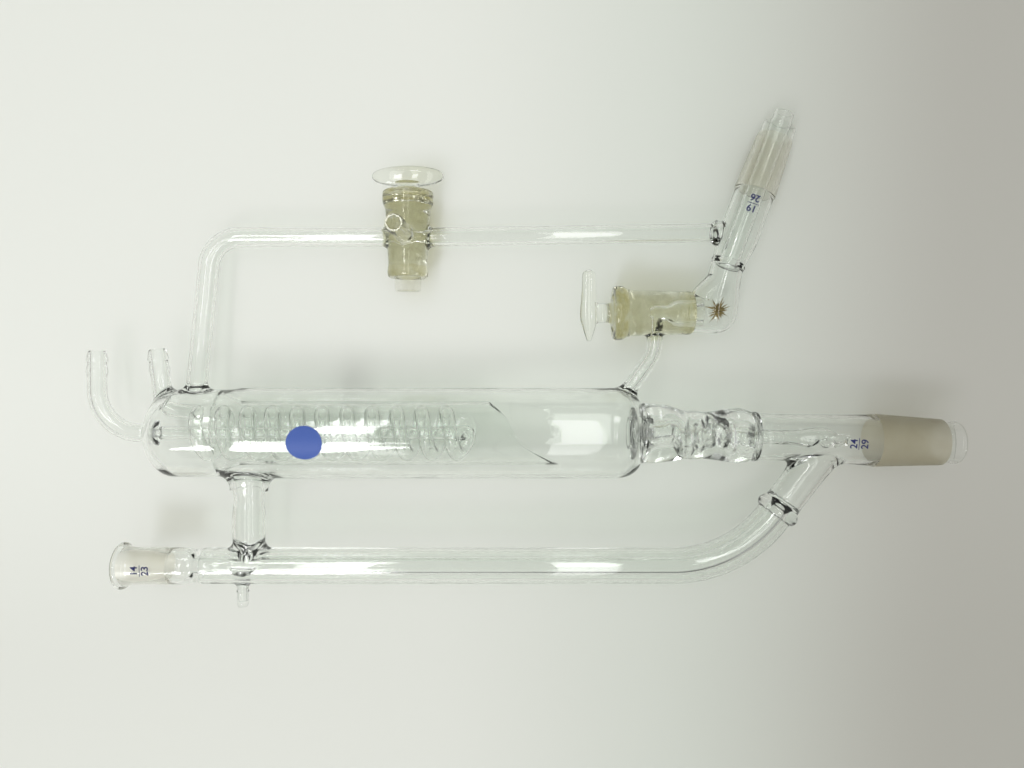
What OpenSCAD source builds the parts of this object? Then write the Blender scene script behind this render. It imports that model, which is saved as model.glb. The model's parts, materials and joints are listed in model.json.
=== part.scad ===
// Distillation head with a coil condenser, blown in one piece, and its two turning stopcock keys.
// It lies on its side: the condenser runs along X, and the head rolls until a stopcock's collar
// touches the bench. Lengths are in millimetres.
//
// The glass is laid out in a drawing plane and rolled at the end. In that plane X = 0 is the ring
// seal between dome and shell, Y = 0 is the condenser's axis, and every tube but the open vent arm
// has its axis at Z = 0.

/* [Condenser] */
// Outer diameter of the condenser shell
shell_d = 41; // [39:0.5:44]
// Wall of the large blown tubes
shell_wall = 1.6; // [1.2:0.1:2]
// Length of the shell, from the dome's seal to the end of its lower shoulder
shell_len = 188.5; // [186:0.5:192]
// Outer diameter of the dome at the top of the condenser
dome_d = 39.5; // [38:0.5:40.5]
// Length of the dome, from its rounded end to the seal
dome_len = 34.8; // [34:0.2:36]
// Outer diameter of the inner condenser tube
inner_d = 28.6; // [28:0.2:29.4]
// Wall of the inner condenser tube
inner_wall = 1.3; // [1.1:0.1:1.4]
// Shortest reach of the inner tube's oblique lip
lip_near = 118.7; // [117:0.5:122]
// Longest reach of the inner tube's oblique lip
lip_far = 150.5; // [146:0.5:154]

/* [Cooling coil] */
// Outer diameter of the coil
coil_d = 25.2; // [24:0.2:25.4]
// Outer diameter of the coil's tube
coil_tube_d = 6.6; // [6:0.2:7]
// Wall of the coil's tube
coil_wall = 0.9; // [0.8:0.1:1.1]
// Advance of each turn
coil_pitch = 11.2; // [10.6:0.1:11.4]
// Half turns in the coil, an odd number
coil_half_turns = 21; // [17:2:21]

/* [Liquid seal and neck] */
// Downward tilt of the lower part against the condenser
foot_tilt = 1.75; // [0:0.25:2]
// Largest diameter of the liquid seal's chamber
chamber_d = 26.8; // [26:0.2:28]
// Diameter of its waist
waist_d = 20.6; // [20:0.2:22]
// Outer diameter of the neck where it leaves the seal
neck_d = 21; // [20.5:0.5:22]
// Outer diameter of the waved seal tube
trap_d = 8; // [7.4:0.2:8.4]
// Outer diameter of the drip tube's bulb
drip_bulb_d = 9.4; // [8.4:0.2:10]

/* [Ground joints] */
// Large diameter of the flask cone
cone_d = 24; // [24]
// Ground length of the flask cone
cone_ground = 31; // [29:0.5:34]
// Large diameter of the receiver cone
receiver_d = 18.8; // [18.8]
// Ground length of the receiver cone
receiver_ground = 26; // [26]
// Mouth diameter of the thermometer socket
socket_d = 14.5; // [14.5]
// Ground depth of the thermometer socket
socket_ground = 23; // [23]

/* [Jacketed vapour tube] */
// Distance from the condenser's axis to the vapour tube's axis
vapour_gap = 60.3; // [59:0.5:61]
// Outer diameter of the vacuum jacket
jacket_d = 16; // [15.6:0.2:16.4]
// Outer diameter of the tube inside the jacket
vapour_d = 8; // [7.4:0.2:8.4]
// Outer diameter of the cross tube to the condenser
cross_d = 14.3; // [13.5:0.2:15]
// Radius of the jacket's bend
jacket_bend = 58; // [54:1:59]

/* [Vent line] */
// Distance from the condenser's axis to the vent line
vent_gap = 88.9; // [88:0.5:90]
// Outer diameter of the riser from the dome
riser_d = 9; // [8.6:0.2:10]
// Outer diameter of the vent line
vent_d = 8.2; // [8:0.2:8.6]
// Radius of the bend between them
vent_bend = 14; // [12:0.5:16]
// Outer diameter of the open vent arm
arm_d = 8; // [8]
// Height of the open vent arm above the stopcock's axis
arm_reach = 33; // [30:1:36]
// Lean of the vent arm towards the dome
arm_lean = 2.8; // [0:0.2:6]

/* [Stopcocks] */
// Length of the vent stopcock's barrel
vent_barrel_len = 39; // [38:0.5:40]
// Diameter of its collar
vent_collar_d = 23; // [22.5:0.5:24]
// Length of the take-off stopcock's barrel
takeoff_barrel_len = 35; // [34:0.5:36]
// Diameter of its collar
takeoff_collar_d = 24.4; // [23.6:0.2:25]
// Diameter of each ground barrel at its collar's face
key_bore_d = 16.3; // [16:0.1:16.6]
// Radial running clearance of each key
key_clearance = 0.05; // [0.02:0.01:0.08]
// Diameter of the ways drilled through the vent key
key_way_d = 5; // [4:0.2:5.4]
// Length of each key's handle
handle_len = 32.5; // [30:0.5:33]
// Width of the vent key's handle along its axis
vent_handle_w = 9.4; // [9:0.2:10]
// Width of the take-off key's handle along its axis
takeoff_handle_w = 8.2; // [7.6:0.2:9]
// Thickness of the pressed handles
handle_t = 5.2; // [4.6:0.2:6]

/* [Water connectors] */
// Outer diameter of the hose connectors
hose_d = 8.2; // [8:0.2:9]
// Height of the axial connector's end over the condenser's axis
hose_top = 37.3; // [36:0.5:40]

/* [Hidden] */
$fn = 48;

clear_glass = [0.86, 0.91, 0.89, 0.45];
vent_glass = [0.86, 0.86, 0.74, 0.6];
takeoff_glass = [0.84, 0.83, 0.7, 0.6];

lap = 0.3;            // how far a straight leg runs on into the bend after it
bend_swell = 0.1;     // how much fatter a bend is than the legs that enter it
ground_rate = 1 / 20; // radius lost per millimetre of a 1:10 ground taper
tube_wall = 1.2;      // wall of the small tubes
web = 1.1;            // thickness of a ring seal's web

shell_r = shell_d / 2;
dome_r = dome_d / 2;
dome_cap = 13.2;      // how far the dome's rounded end reaches past its straight wall
inner_r = inner_d / 2;
shoulder_len = 11.2;
shoulder_x = shell_len - shoulder_len;
shoulder_r = chamber_d / 2 - 0.8;

coil_tube_r = coil_tube_d / 2;
coil_r = coil_d / 2 - coil_tube_r;
coil_x = -11.5;
coil_end = coil_x + coil_half_turns * coil_pitch / 2;
return_r = 2.8;
return_x = coil_end + 9;

// Distances along the lower part, from the end of the shell.
neck_start = 53.8;
cone_start = 105.6;
cone_end = cone_start + cone_ground;
tip_end = 144.5;
tip_r = 9.6;
foot_wall = 1.5;
lip_stub = -4.2;      // where the overflow lip begins, inside the shell
lip_r = 7.5;
drip_start = 55;
trap_bend = 12;

arm_seal = [250.5, -35.9]; // ring seal between jacket and side arm
arm_dir = 52.8;            // heading of the side arm from there up to the neck
jacket_turn = [arm_seal[0] - (arm_seal[1] + vapour_gap) / tan(arm_dir), -vapour_gap];
socket_mouth = -47.7;
cross_x = 11;
pip_x = 8.2;
pip_tip = 79.5;
pip_r = 2.5;

riser_foot = [-13.5, 14];
riser_turn = [-6, vent_gap];
riser_end = 14;
vent_x = 83.2;
vent_centre = [vent_x, vent_gap];
vent_right = [234, 91.1];  // where the vent line would meet the receiver's axis
vent_dir = heading(vent_centre, vent_right);
vent_barrel_top = 109.5;
vent_collar_r = vent_collar_d / 2;

takeoff_face = [176.4, 54.5];
takeoff_collar_r = takeoff_collar_d / 2;
takeoff_root = [179.1, 13.4];
takeoff_turn = [195.3, 36.3];
takeoff_top = [195.3, 49];
takeoff_bend = 18;
takeoff_r = 3.5;
takeoff_bore = 1.6;
bulb_centre = [223, 55];
bulb_r = 9.6;
bulb_shoulder = [219.2, 61]; // fills the inside of the turn from barrel to receiver
shoulder_bulb_r = 7.4;
shoulder_top = [227, 69];      // where that filling runs out into the receiver's neck

receiver_seal = [228.7, 76.8];
receiver_dir = 69.5;
receiver_step = 34.6;      // from the ring seal to the cone's large end
receiver_end = receiver_step + receiver_ground;
receiver_tip = receiver_end + 6.3;
receiver_reach = 73;       // from the ring seal to the drip tube's open end
drip_r = 4.5;

hose_turn = [-58.1, 0];
hose_bend = 20;
barb_rise = 0.5;
side_root = [-27.6, 13];
side_dir = 97.5;
side_len = 25.2;
side_seal = 6;             // from the root to the wall that the side connector is sealed into

// Roll at which the shell and the vent stopcock's collar both touch the bench.
rest_roll = asin(shell_r / norm([vent_barrel_top, vent_collar_r]))
    - atan(vent_collar_r / vent_barrel_top);

// The bounding box in the rest pose, from the parts that reach furthest each way.
x_min = hose_turn[0] - hose_d / 2 - barb_rise;
x_max = shell_len + tip_end * cos(foot_tilt) + tip_r * sin(foot_tilt);
y_min = -pip_tip * cos(rest_roll);
y_max = (receiver_seal[1] + receiver_reach * sin(receiver_dir)) * cos(rest_roll)
    + drip_r * sqrt(1 - pow(sin(receiver_dir) * cos(rest_roll), 2));

function heading(a, b) = atan2(b[1] - a[1], b[0] - a[0]);
function turn(h) = h > 180 ? h - 360 : h < -180 ? h + 360 : h;
function step(p, h, d) = [p[0] + d * cos(h), p[1] + d * sin(h)];

// ---------------------------------------------------------------- tube work

// What is built along +Z starts at p and runs in the drawing plane along heading h.
module laid(p, h) {
    translate([p[0], p[1], 0]) rotate([0, 0, h]) rotate([0, 90, 0]) children();
}

// A turned shape: outline points are [radius, distance along the axis].
module turned(outline) {
    rotate_extrude() polygon(outline);
}

module leg(a, b, r) {
    laid(a, heading(a, b)) cylinder(r = r, h = norm(b - a));
}

module knuckle(p, r) {
    translate([p[0], p[1], 0]) sphere(r = r);
}

// The arc that turns a tube of radius r from leg a-v into leg v-b.
module elbow(a, v, b, r, bend) {
    h = heading(a, v);
    t = turn(heading(v, b) - h);
    side = t > 0 ? 1 : -1;
    start = step(v, h, -bend * tan(abs(t) / 2));
    centre = step(start, h + 90 * side, bend);
    translate([centre[0], centre[1], 0])
        rotate([0, 0, t > 0 ? h - 90 : h + 90 + t])
            rotate_extrude(angle = abs(t)) translate([bend, 0]) circle(r = r);
}

// A tube with one bend: straight, arc, straight.
module bent(a, v, b, r, bend) {
    cut = bend * tan(abs(turn(heading(v, b) - heading(a, v))) / 2) - lap;
    leg(a, step(v, heading(a, v), -cut), r);
    elbow(a, v, b, r + bend_swell, bend);
    leg(step(v, heading(v, b), cut), b, r);
}

// A tube that runs through all of the points, with an arc at each one between its ends.
module waved(points, r, bend) {
    last = len(points) - 1;
    cuts = [for (i = [0:last]) i == 0 || i == last ? 0
        : bend * tan(abs(turn(heading(points[i], points[i + 1])
            - heading(points[i - 1], points[i]))) / 2) - lap];
    for (i = [0:last - 1]) {
        h = heading(points[i], points[i + 1]);
        leg(step(points[i], h, cuts[i]), step(points[i + 1], h, -cuts[i + 1]), r);
    }
    for (i = [1:last - 1])
        elbow(points[i - 1], points[i], points[i + 1], r + bend_swell, bend);
}

// A flared weld: its radius falls from r1 in a hollow curve to r2 over height h.
module weld(r1, r2, h) {
    turned(concat([[0, 0], [r1, 0]],
        [for (a = [18:18:90]) [r2 + (r1 - r2) * (1 - sin(a)), h * (1 - cos(a))]],
        [[0, h]]));
}

// A ground taper between two distances from its collar's face.
module key_taper(from, to, clearance) {
    r = key_bore_d / 2 - clearance;
    translate([0, 0, from])
        cylinder(r1 = r - from * ground_rate, r2 = r - to * ground_rate, h = to - from);
}

// ---------------------------------------------------------------- condenser

module condenser_outside() {
    laid([0, 0], 0) turned(concat(
        [for (a = [0:15:90]) [dome_r * sin(a), dome_cap * (1 - cos(a)) - dome_len]],
        [[dome_r, -4], [dome_r - 0.6, 0.5], [dome_r - 0.5, 4], [shell_r, 8]],
        [for (a = [0:15:90]) [shoulder_r + (shell_r - shoulder_r) * cos(a),
            shoulder_x + shoulder_len * sin(a)]],
        [[0, shell_len]]));
}

module condenser_inside() {
    w = shell_wall;
    floor_r = shoulder_r - 2.2;
    laid([0, 0], 0) turned(concat(
        [for (a = [0:15:90]) [(dome_r - w) * sin(a), dome_cap * (1 - cos(a)) - dome_len + w]],
        [[dome_r - w, -4], [dome_r - w - 0.4, 1], [shell_r - w, 9]],
        [for (a = [0:15:75]) [floor_r + (shell_r - w - floor_r) * cos(a),
            shoulder_x + (shoulder_len - w) * sin(a)]],
        [[floor_r, shell_len - w], [0, shell_len - w]]));
}

// The inner tube flares out at its top into the ring seal, and its open end is cut obliquely.
module inner_tube() {
    bore_r = inner_r - inner_wall;
    past = lip_far + 3;
    difference() {
        laid([0, 0], 0) turned([
            [dome_r - 1.2, -0.2], [dome_r - 0.5, 1.6], [inner_r + 1.2, 4], [inner_r, 7],
            [inner_r, past], [bore_r, past], [bore_r, 6.6], [bore_r + 1.2, 3.2]]);
        translate([(lip_near + lip_far) / 2, 0, 0])
            rotate([0, 0, atan2(lip_far - lip_near, inner_d)])
                translate([0, -shell_d, -shell_d]) cube(shell_d * 2);
    }
}

// Each half turn is a flat half ring, tilted to gain half a pitch, and neighbours share a tangent.
module coil_run(r) {
    tilt = atan2(coil_pitch / 2, 2 * coil_r);
    ring_r = norm([coil_r, coil_pitch / 4]);
    for (i = [0:coil_half_turns - 1]) {
        odd = i % 2;
        over = 0.8 * odd;
        translate([coil_x + (i + 0.5) * coil_pitch / 2, 0, 0])
            rotate([0, 0, odd ? -90 - tilt : 90 + tilt]) rotate([90, 0, 0]) rotate([0, 0, -over])
                rotate_extrude(angle = 180 + 2 * over)
                    translate([ring_r, 0]) circle(r = r + 0.08 * odd);
    }
}

// The water's way: side connector, coil, link, and straight return to the axial connector.
module water_way(r, straight_r, top_x) {
    link_r = r - 0.15;
    knuckle_r = r + 0.25;
    leg(side_root, step(side_root, side_dir, side_seal), link_r);
    knuckle(side_root, knuckle_r);
    leg(side_root, [coil_x, coil_r], link_r);
    knuckle([coil_x, coil_r], knuckle_r);
    coil_run(r);
    knuckle([coil_end, -coil_r], knuckle_r);
    leg([coil_end, -coil_r], [return_x, 0], link_r);
    knuckle([return_x, 0], knuckle_r);
    leg([return_x, 0], [top_x, 0], straight_r);
}

module cooling_coil() {
    difference() {
        union() {
            water_way(coil_tube_r, return_r, 1 - dome_len);
            laid([1.2 - dome_len, 0], 0) weld(7.4, return_r - 0.2, 5);
        }
        water_way(coil_tube_r - coil_wall, return_r - 0.8, -dome_len);
    }
}

// ---------------------------------------------------------------- liquid seal, neck and cone

module foot(along = 0) {
    translate([shell_len, 0, 0]) rotate([0, 0, -foot_tilt]) laid([along, 0], 0) children();
}

// The liquid seal's chamber is a lumpy blown tube; w is the wall taken off its radius.
function chamber_outline(w) =
    let (big = chamber_d / 2 - w, small = waist_d / 2 - w)
    [[big, 3], [big, 9], [big - 1.6, 15], [small + 0.3, 20], [small + 0.9, 24], [small, 28],
     [small + 0.6, 34], [big - 1, 41], [big - 1, 44]];

module foot_outside() {
    cone_r = cone_d / 2;
    foot() turned(concat(
        [[0, -2.4], [11.4, -2.4], [12.1, -1.2], [13.7, 1.2]],
        chamber_outline(0),
        [[10.7, 50], [11.2, 51.5], [10.6, neck_start], [neck_d / 2, 59], [11, 90],
         [11.8, cone_start - 1.5], [cone_r, cone_start],
         [cone_r - cone_ground * ground_rate, cone_end], [tip_r + 0.4, cone_end + 1],
         [tip_r + 0.2, tip_end - 1], [tip_r, tip_end], [0, tip_end]]));
}

module foot_inside() {
    bore_r = cone_d / 2 - 2;
    foot() turned(concat(
        [[0, 0.6], [10.6, 0.6]],
        chamber_outline(foot_wall),
        [[9.3, 49.4], [8, 50.2], [0, 50.2]]));
    foot() turned([
        [0, 52.6], [8, 52.6], [neck_d / 2 - foot_wall, 58], [9.6, 90], [bore_r, cone_start],
        [bore_r - cone_ground * ground_rate, cone_end], [8, tip_end + 1], [0, tip_end + 1]]);
}

// Overflow lip, waved liquid seal and drip tube; `more` runs each open end on by that much.
module trap_way(r, stub_r, bulb_r, nozzle_r, more) {
    wave = [[-1, 0], [9, -2.6], [20, 2.4], [31, -2.6], [42, 0.4], [drip_start, 0]];
    foot(lip_stub - more) cylinder(r = stub_r, h = more - lip_stub);
    translate([shell_len, 0, 0]) rotate([0, 0, -foot_tilt]) {
        waved(wave, r, trap_bend);
        knuckle(wave[len(wave) - 1], r + 0.3);
    }
    foot(drip_start) turned([
        [0, 0], [r - 0.4, 0], [r - 0.6, 8], [bulb_r, 26], [bulb_r - 0.2, 29],
        [nozzle_r + 0.5, 32.5], [nozzle_r, 34], [nozzle_r - 0.4, 40 + more], [0, 40 + more]]);
}

// ---------------------------------------------------------------- jacketed vapour tube

module vapour_outside() {
    bent(arm_seal, jacket_turn, [-6, -vapour_gap], jacket_d / 2, jacket_bend);
    // Thermometer socket with its beaded mouth, necked in where the jacket begins.
    laid([socket_mouth, -vapour_gap], 0) turned([
        [0, 0], [10.2, 0], [10.6, 1], [10.4, 2.4], [8.6, 4.5], [8.25, 8], [8.2, 30],
        [7.5, 33.5], [7.6, 36.5], [8.2, 39], [7.7, 43], [0, 43]]);
    // Side arm from its ring seal up into the neck.
    laid(step(arm_seal, arm_dir, -1.5), arm_dir) turned([
        [0, 0], [8.3, 0], [9.7, 1.5], [9.7, 3.5], [8.1, 6], [8, 28], [9.2, 34], [9.6, 43],
        [0, 43]]);
    // Cross tube with a flared weld at each end and a waist between them.
    laid([cross_x, -15], -90) turned([
        [0, 0], [9, 0], [8.6, 5], [7.4, 10.5], [6.5, 13.2], [7.1, 16], [cross_d / 2, 20],
        [cross_d / 2, 32], [8.2, 36.5], [7.6, 40], [0, 40]]);
    // Pip where the jacket was pumped out and sealed off.
    pip_seat = vapour_gap + jacket_d / 2 - 2;
    pip_len = pip_tip - pip_seat;
    laid([pip_x, -pip_seat], -90) turned([
        [0, 0], [3.4, 0], [3.2, 2.2], [2.3, 3.6], [2.9, 4.6], [pip_r, 6.2],
        [pip_r, pip_len - 2], [1.6, pip_len - 0.5], [0, pip_len]]);
}

module jacket_space() {
    bent(step(arm_seal, arm_dir, -web / 2), jacket_turn, [-9.5, -vapour_gap],
        jacket_d / 2 - web, jacket_bend);
    laid([pip_x, -vapour_gap - 5], -90) cylinder(r = 1.3, h = 11);
}

module vapour_inner(r) {
    bent(step(arm_seal, arm_dir, 1.5), jacket_turn, [-12, -vapour_gap], r, jacket_bend);
}

// The cross tube goes on through the jacket to the tube inside it.
module cross_sleeve() {
    laid([cross_x, -50], -90) cylinder(r = vapour_d / 2 - 0.2, h = vapour_gap - 50);
}

module vapour_bores() {
    bore_r = vapour_d / 2 - tube_wall;
    socket_r = socket_d / 2;
    vapour_inner(bore_r);
    laid([socket_mouth, -vapour_gap], 0) turned([
        [0, -1], [socket_r + 0.3, -1], [socket_r, 0],
        [socket_r - socket_ground * ground_rate, socket_ground],
        [6.7, socket_ground + 1], [6.7, 29], [5, 32.5], [bore_r - 0.1, 36], [0, 36]]);
    laid(step(arm_seal, arm_dir, 0.6), arm_dir) turned([
        [0, 0], [bore_r - 0.1, 0], [6.4, 5], [6.5, 29], [7.4, 36], [0, 36]]);
    laid([cross_x, -17], -90) turned([
        [0, 0], [6.6, 0], [6, 6], [5.1, 11], [5.9, 16], [5.9, 31], [3.4, 36],
        [bore_r - 0.2, 37.5], [bore_r - 0.2, vapour_gap - 17], [0, vapour_gap - 17]]);
}

// ---------------------------------------------------------------- vent line

module on_vent_arm() {
    translate([vent_centre[0], vent_centre[1], 0]) rotate([0, -arm_lean, 0]) children();
}

// The riser narrows to the line's size just after the bend.
module vent_tube(riser_r, line_r) {
    bent(riser_foot, riser_turn, [riser_end, vent_gap], riser_r, vent_bend);
    laid([riser_end - 1, vent_gap], 0) cylinder(r1 = riser_r + 0.2, r2 = line_r + 0.05, h = 9);
    leg([riser_end + 7, vent_gap], vent_centre, line_r);
}

module vent_outside() {
    line_r = vent_d / 2;
    vent_tube(riser_d / 2, line_r);
    laid([-13, dome_r - 1.6], heading(riser_foot, riser_turn)) weld(8.6, riser_d / 2 - 0.2, 5);
    leg(vent_centre, vent_right, line_r + 0.05);
    laid(step(vent_right, vent_dir, -12), vent_dir) turned([
        [0, 0], [3.9, 0], [5.6, 1.2], [5.6, 2.6], [5, 4], [6, 7], [0, 7]]);
    // Barrel with its rim, its foot bead and its welded arms.
    laid([vent_x, vent_barrel_top], -90) turned([
        [0, 0], [vent_collar_r - 0.7, 0], [vent_collar_r, 0.8], [vent_collar_r, 5.5],
        [vent_collar_r - 0.4, 6.8], [10.4, 8.5], [9.5, 19], [8.8, vent_barrel_len - 6],
        [9.2, vent_barrel_len - 4], [9.2, vent_barrel_len - 1.2], [8.4, vent_barrel_len],
        [0, vent_barrel_len]]);
    for (side = [0, 180])
        laid(step(vent_centre, side, 7), side) weld(7.2, line_r - 0.2, 7);
    on_vent_arm() {
        cylinder(d = arm_d, h = arm_reach);
        translate([0, 0, 7]) weld(6.8, arm_d / 2 - 0.2, 5.5);
    }
}

module vent_bores() {
    line_r = vent_d / 2 - tube_wall;
    vent_tube(riser_d / 2 - tube_wall, line_r);
    leg(vent_centre, step(vent_right, vent_dir, -7), line_r + 0.05);
    on_vent_arm() cylinder(d = arm_d - 2 * tube_wall, h = arm_reach + 2);
    laid([vent_x, vent_barrel_top], -90) key_taper(-2, vent_barrel_len + 2, 0);
}

// ---------------------------------------------------------------- take-off and receiver

module takeoff_outside() {
    bent(takeoff_root, takeoff_turn, takeoff_top, takeoff_r, takeoff_bend);
    laid([183.2, 19.2], heading(takeoff_root, takeoff_turn)) weld(5.2, takeoff_r - 0.2, 5);
    laid(takeoff_face, 0) turned([
        [0, 0], [takeoff_collar_r - 0.7, 0], [takeoff_collar_r, 0.8], [takeoff_collar_r, 4.4],
        [takeoff_collar_r - 1, 6], [10.5, 7], [9.6, takeoff_barrel_len - 3],
        [9.9, takeoff_barrel_len - 1], [9.1, takeoff_barrel_len + 1],
        [0, takeoff_barrel_len + 1]]);
    laid([takeoff_top[0], 42.3], 90) turned([[0, 0], [takeoff_r - 0.1, 0], [5, 3], [5.8, 5], [0, 5]]);
    leg(step(takeoff_face, 0, takeoff_barrel_len - 4), bulb_centre, bulb_r - 0.6);
    knuckle(bulb_centre, bulb_r);
    knuckle(bulb_shoulder, shoulder_bulb_r);
    laid(bulb_shoulder, heading(bulb_shoulder, shoulder_top))
        cylinder(r1 = shoulder_bulb_r + 0.1, r2 = shoulder_bulb_r - 0.2,
            h = norm(shoulder_top - bulb_shoulder));
    laid(bulb_centre, heading(bulb_centre, receiver_seal))
        cylinder(r1 = bulb_r - 0.4, r2 = 7.2, h = norm(receiver_seal - bulb_centre));
}

module receiver_outside() {
    step_r = receiver_d / 2;
    laid(step(receiver_seal, receiver_dir, -1.5), receiver_dir) turned([
        [0, 0], [7, 0], [7.8, 1], [7.6, 2.6], [8.1, 6], [9.2, 15], [8.9, 24],
        [9, receiver_step + 0.6], [step_r, receiver_step + 1.5],
        [step_r - receiver_ground * ground_rate, receiver_end + 1.5],
        [7.7, receiver_end + 2.2], [7.5, receiver_tip + 1.5], [0, receiver_tip + 1.5]]);
}

module receiver_inside() {
    leg(step(takeoff_face, 0, takeoff_barrel_len + 0.5), bulb_centre, bulb_r - 2);
    knuckle(bulb_centre, bulb_r - 1.3);
    knuckle(bulb_shoulder, shoulder_bulb_r - 1.3);
    laid(bulb_shoulder, heading(bulb_shoulder, shoulder_top))
        cylinder(r1 = shoulder_bulb_r - 1.2, r2 = shoulder_bulb_r - 1.8,
            h = norm(shoulder_top - bulb_shoulder));
    laid(bulb_centre, heading(bulb_centre, receiver_seal))
        cylinder(r1 = bulb_r - 1.8, r2 = 5.6, h = norm(receiver_seal - bulb_centre) - 1.2);
    laid(step(receiver_seal, receiver_dir, 1.6), receiver_dir) turned([
        [0, 0], [6, 0], [6.9, 4], [7.8, 12], [7.5, 20], [7.4, receiver_step - 1.6],
        [7.4 - receiver_ground * ground_rate, receiver_end - 1.6], [6.1, receiver_tip],
        [0, receiver_tip]]);
}

module receiver_drip(r, from, to) {
    laid(step(receiver_seal, receiver_dir, from), receiver_dir) cylinder(r = r, h = to - from);
}

module takeoff_bores() {
    bent(takeoff_root, takeoff_turn, takeoff_top, takeoff_bore, takeoff_bend);
    receiver_drip(drip_r - web, -4, receiver_reach + 1);
    laid(takeoff_face, 0) key_taper(-2, takeoff_barrel_len + 2, 0);
}

// ---------------------------------------------------------------- water connectors

module hose_tail(h) {
    r = hose_d / 2;
    turned([[0, 0], [r, 0], [r, h - 10.5], [r + barb_rise, h - 9.5], [r - 0.2, h - 5],
        [r + barb_rise, h - 4], [r - 0.3, h], [0, h]]);
}

module hose_outside() {
    r = hose_d / 2;
    bent([3.2 - dome_len, 0], hose_turn, [hose_turn[0], hose_bend + 2], r + 0.05, hose_bend);
    laid([hose_turn[0], hose_bend + 1], 90) hose_tail(hose_top - hose_bend - 1);
    laid([-dome_len - 2.4, 0], 0) turned([[0, 0], [r - 0.1, 0], [5.6, 1.6], [6.8, 3.4], [0, 3.4]]);
    laid(side_root, side_dir) hose_tail(side_len);
    laid(step(side_root, side_dir, 4), side_dir) weld(6.2, r - 0.2, 4.5);
}

module hose_bores() {
    r = hose_d / 2 - 1.4;
    bent([0.8 - dome_len, 0], hose_turn, [hose_turn[0], hose_top + 1], r, hose_bend);
    leg([-dome_len, 0], [3 - dome_len, 0], return_r - 0.9);
    leg(step(side_root, side_dir, side_seal), step(side_root, side_dir, side_len + 1), r);
    leg(side_root, step(side_root, side_dir, side_seal + 1), coil_tube_r - coil_wall - 0.25);
}

// ---------------------------------------------------------------- the three pieces

module at_rest() {
    translate([-(x_min + x_max) / 2, -(y_min + y_max) / 2, shell_r])
        rotate([-rest_roll, 0, 0]) children();
}

module glass_body() {
    color(clear_glass) at_rest() difference() {
        union() {
            difference() {
                union() {
                    condenser_outside();
                    foot_outside();
                    vapour_outside();
                    vent_outside();
                    takeoff_outside();
                    receiver_outside();
                    hose_outside();
                }
                condenser_inside();
                foot_inside();
                jacket_space();
                receiver_inside();
            }
            inner_tube();
            cooling_coil();
            trap_way(trap_d / 2, lip_r, drip_bulb_d / 2, 2.4, 0);
            vapour_inner(vapour_d / 2);
            cross_sleeve();
            receiver_drip(drip_r, -1, receiver_reach);
        }
        trap_way(trap_d / 2 - web, lip_r - 1.3, drip_bulb_d / 2 - web, 1.4, 1);
        vapour_bores();
        vent_bores();
        takeoff_bores();
        hose_bores();
    }
}

// A handle of width w, turned to its outline and pressed flat between two dies; the
// bar runs along X. Outlines are [share of half width, share of half length].
vent_handle_outline = [for (a = [-90:10:90]) [cos(a), sin(a)]];
takeoff_handle_outline = [ // a drop: pointed below, blunt above
    [0, -1], [0.22, -0.985], [0.32, -0.92], [0.54, -0.75], [0.74, -0.58], [0.96, -0.4],
    [1, -0.25], [0.96, -0.05], [0.88, 0.14], [0.8, 0.42], [0.76, 0.83], [0.54, 0.94], [0, 1]];

module handle(outline, w) {
    intersection() {
        rotate([0, 90, 0]) turned([for (p = outline) [w / 2 * p[0], handle_len / 2 * p[1]]]);
        cube([handle_len, w, handle_t], center = true);
    }
}

// A key along +Z from its collar's face: ground plug, shoulder, stem and handle.
module key(plug_len, stem_len, stem_r, outline, w, off_centre) {
    key_taper(-0.8, plug_len, key_clearance);
    translate([0, 0, -0.5]) mirror([0, 0, 1]) turned([
        [0, 0], [key_bore_d / 2 - 0.6, 0], [key_bore_d / 2 - 1, 0.9], [stem_r + 0.8, 2.2],
        [stem_r, 3.2], [stem_r, stem_len + 1.5], [0, stem_len + 1.5]]);
    translate([off_centre, 0, -stem_len - w / 2]) rotate([90, 0, 0]) handle(outline, w);
}

// The vent key is drilled as a T, to join the line and the open arm.
module vent_key() {
    color(vent_glass) at_rest() difference() {
        laid([vent_x, vent_barrel_top], -90) rotate([0, 0, 90])
            key(45, 2.4, 4.8, vent_handle_outline, vent_handle_w, 0);
        laid(step(vent_centre, 180, 12), 0) cylinder(d = key_way_d, h = 24);
        on_vent_arm() cylinder(d = key_way_d, h = 12);
    }
}

// The take-off key is drilled from its side into its hollow end.
module takeoff_key() {
    plug_len = 40.5;
    color(takeoff_glass) at_rest() difference() {
        laid(takeoff_face, 0) rotate([0, 0, 90])
            key(plug_len, 6.8, 4.3, takeoff_handle_outline, takeoff_handle_w, 3.5);
        laid(step(takeoff_face, 0, plug_len + 1), 180) turned([
            [0, 0], [4.6, 0], [4.2, 13], [2.4, 16], [2.4, 22], [1.4, 24.4], [0, 24.4]]);
        laid([takeoff_top[0], takeoff_face[1]], -90) cylinder(r = 1.8, h = 10);
    }
}

glass_body();
vent_key();
takeoff_key();
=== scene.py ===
"""A blown glass distillation head lying on a pale bench, with its two turning stopcock keys.

The glass is drawn in millimetres in a flat plane, as a glassblower's drawing is: X runs along the
condenser from the ring seal at its dome, Y runs across it, and nearly every tube has its axis at
Z = 0. AT_REST then rolls the drawing onto the bench, into the frame of the CAD model.
"""

import json
import math

import bmesh
import bpy
from mathutils import Matrix, Vector
from mathutils.bvhtree import BVHTree


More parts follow.
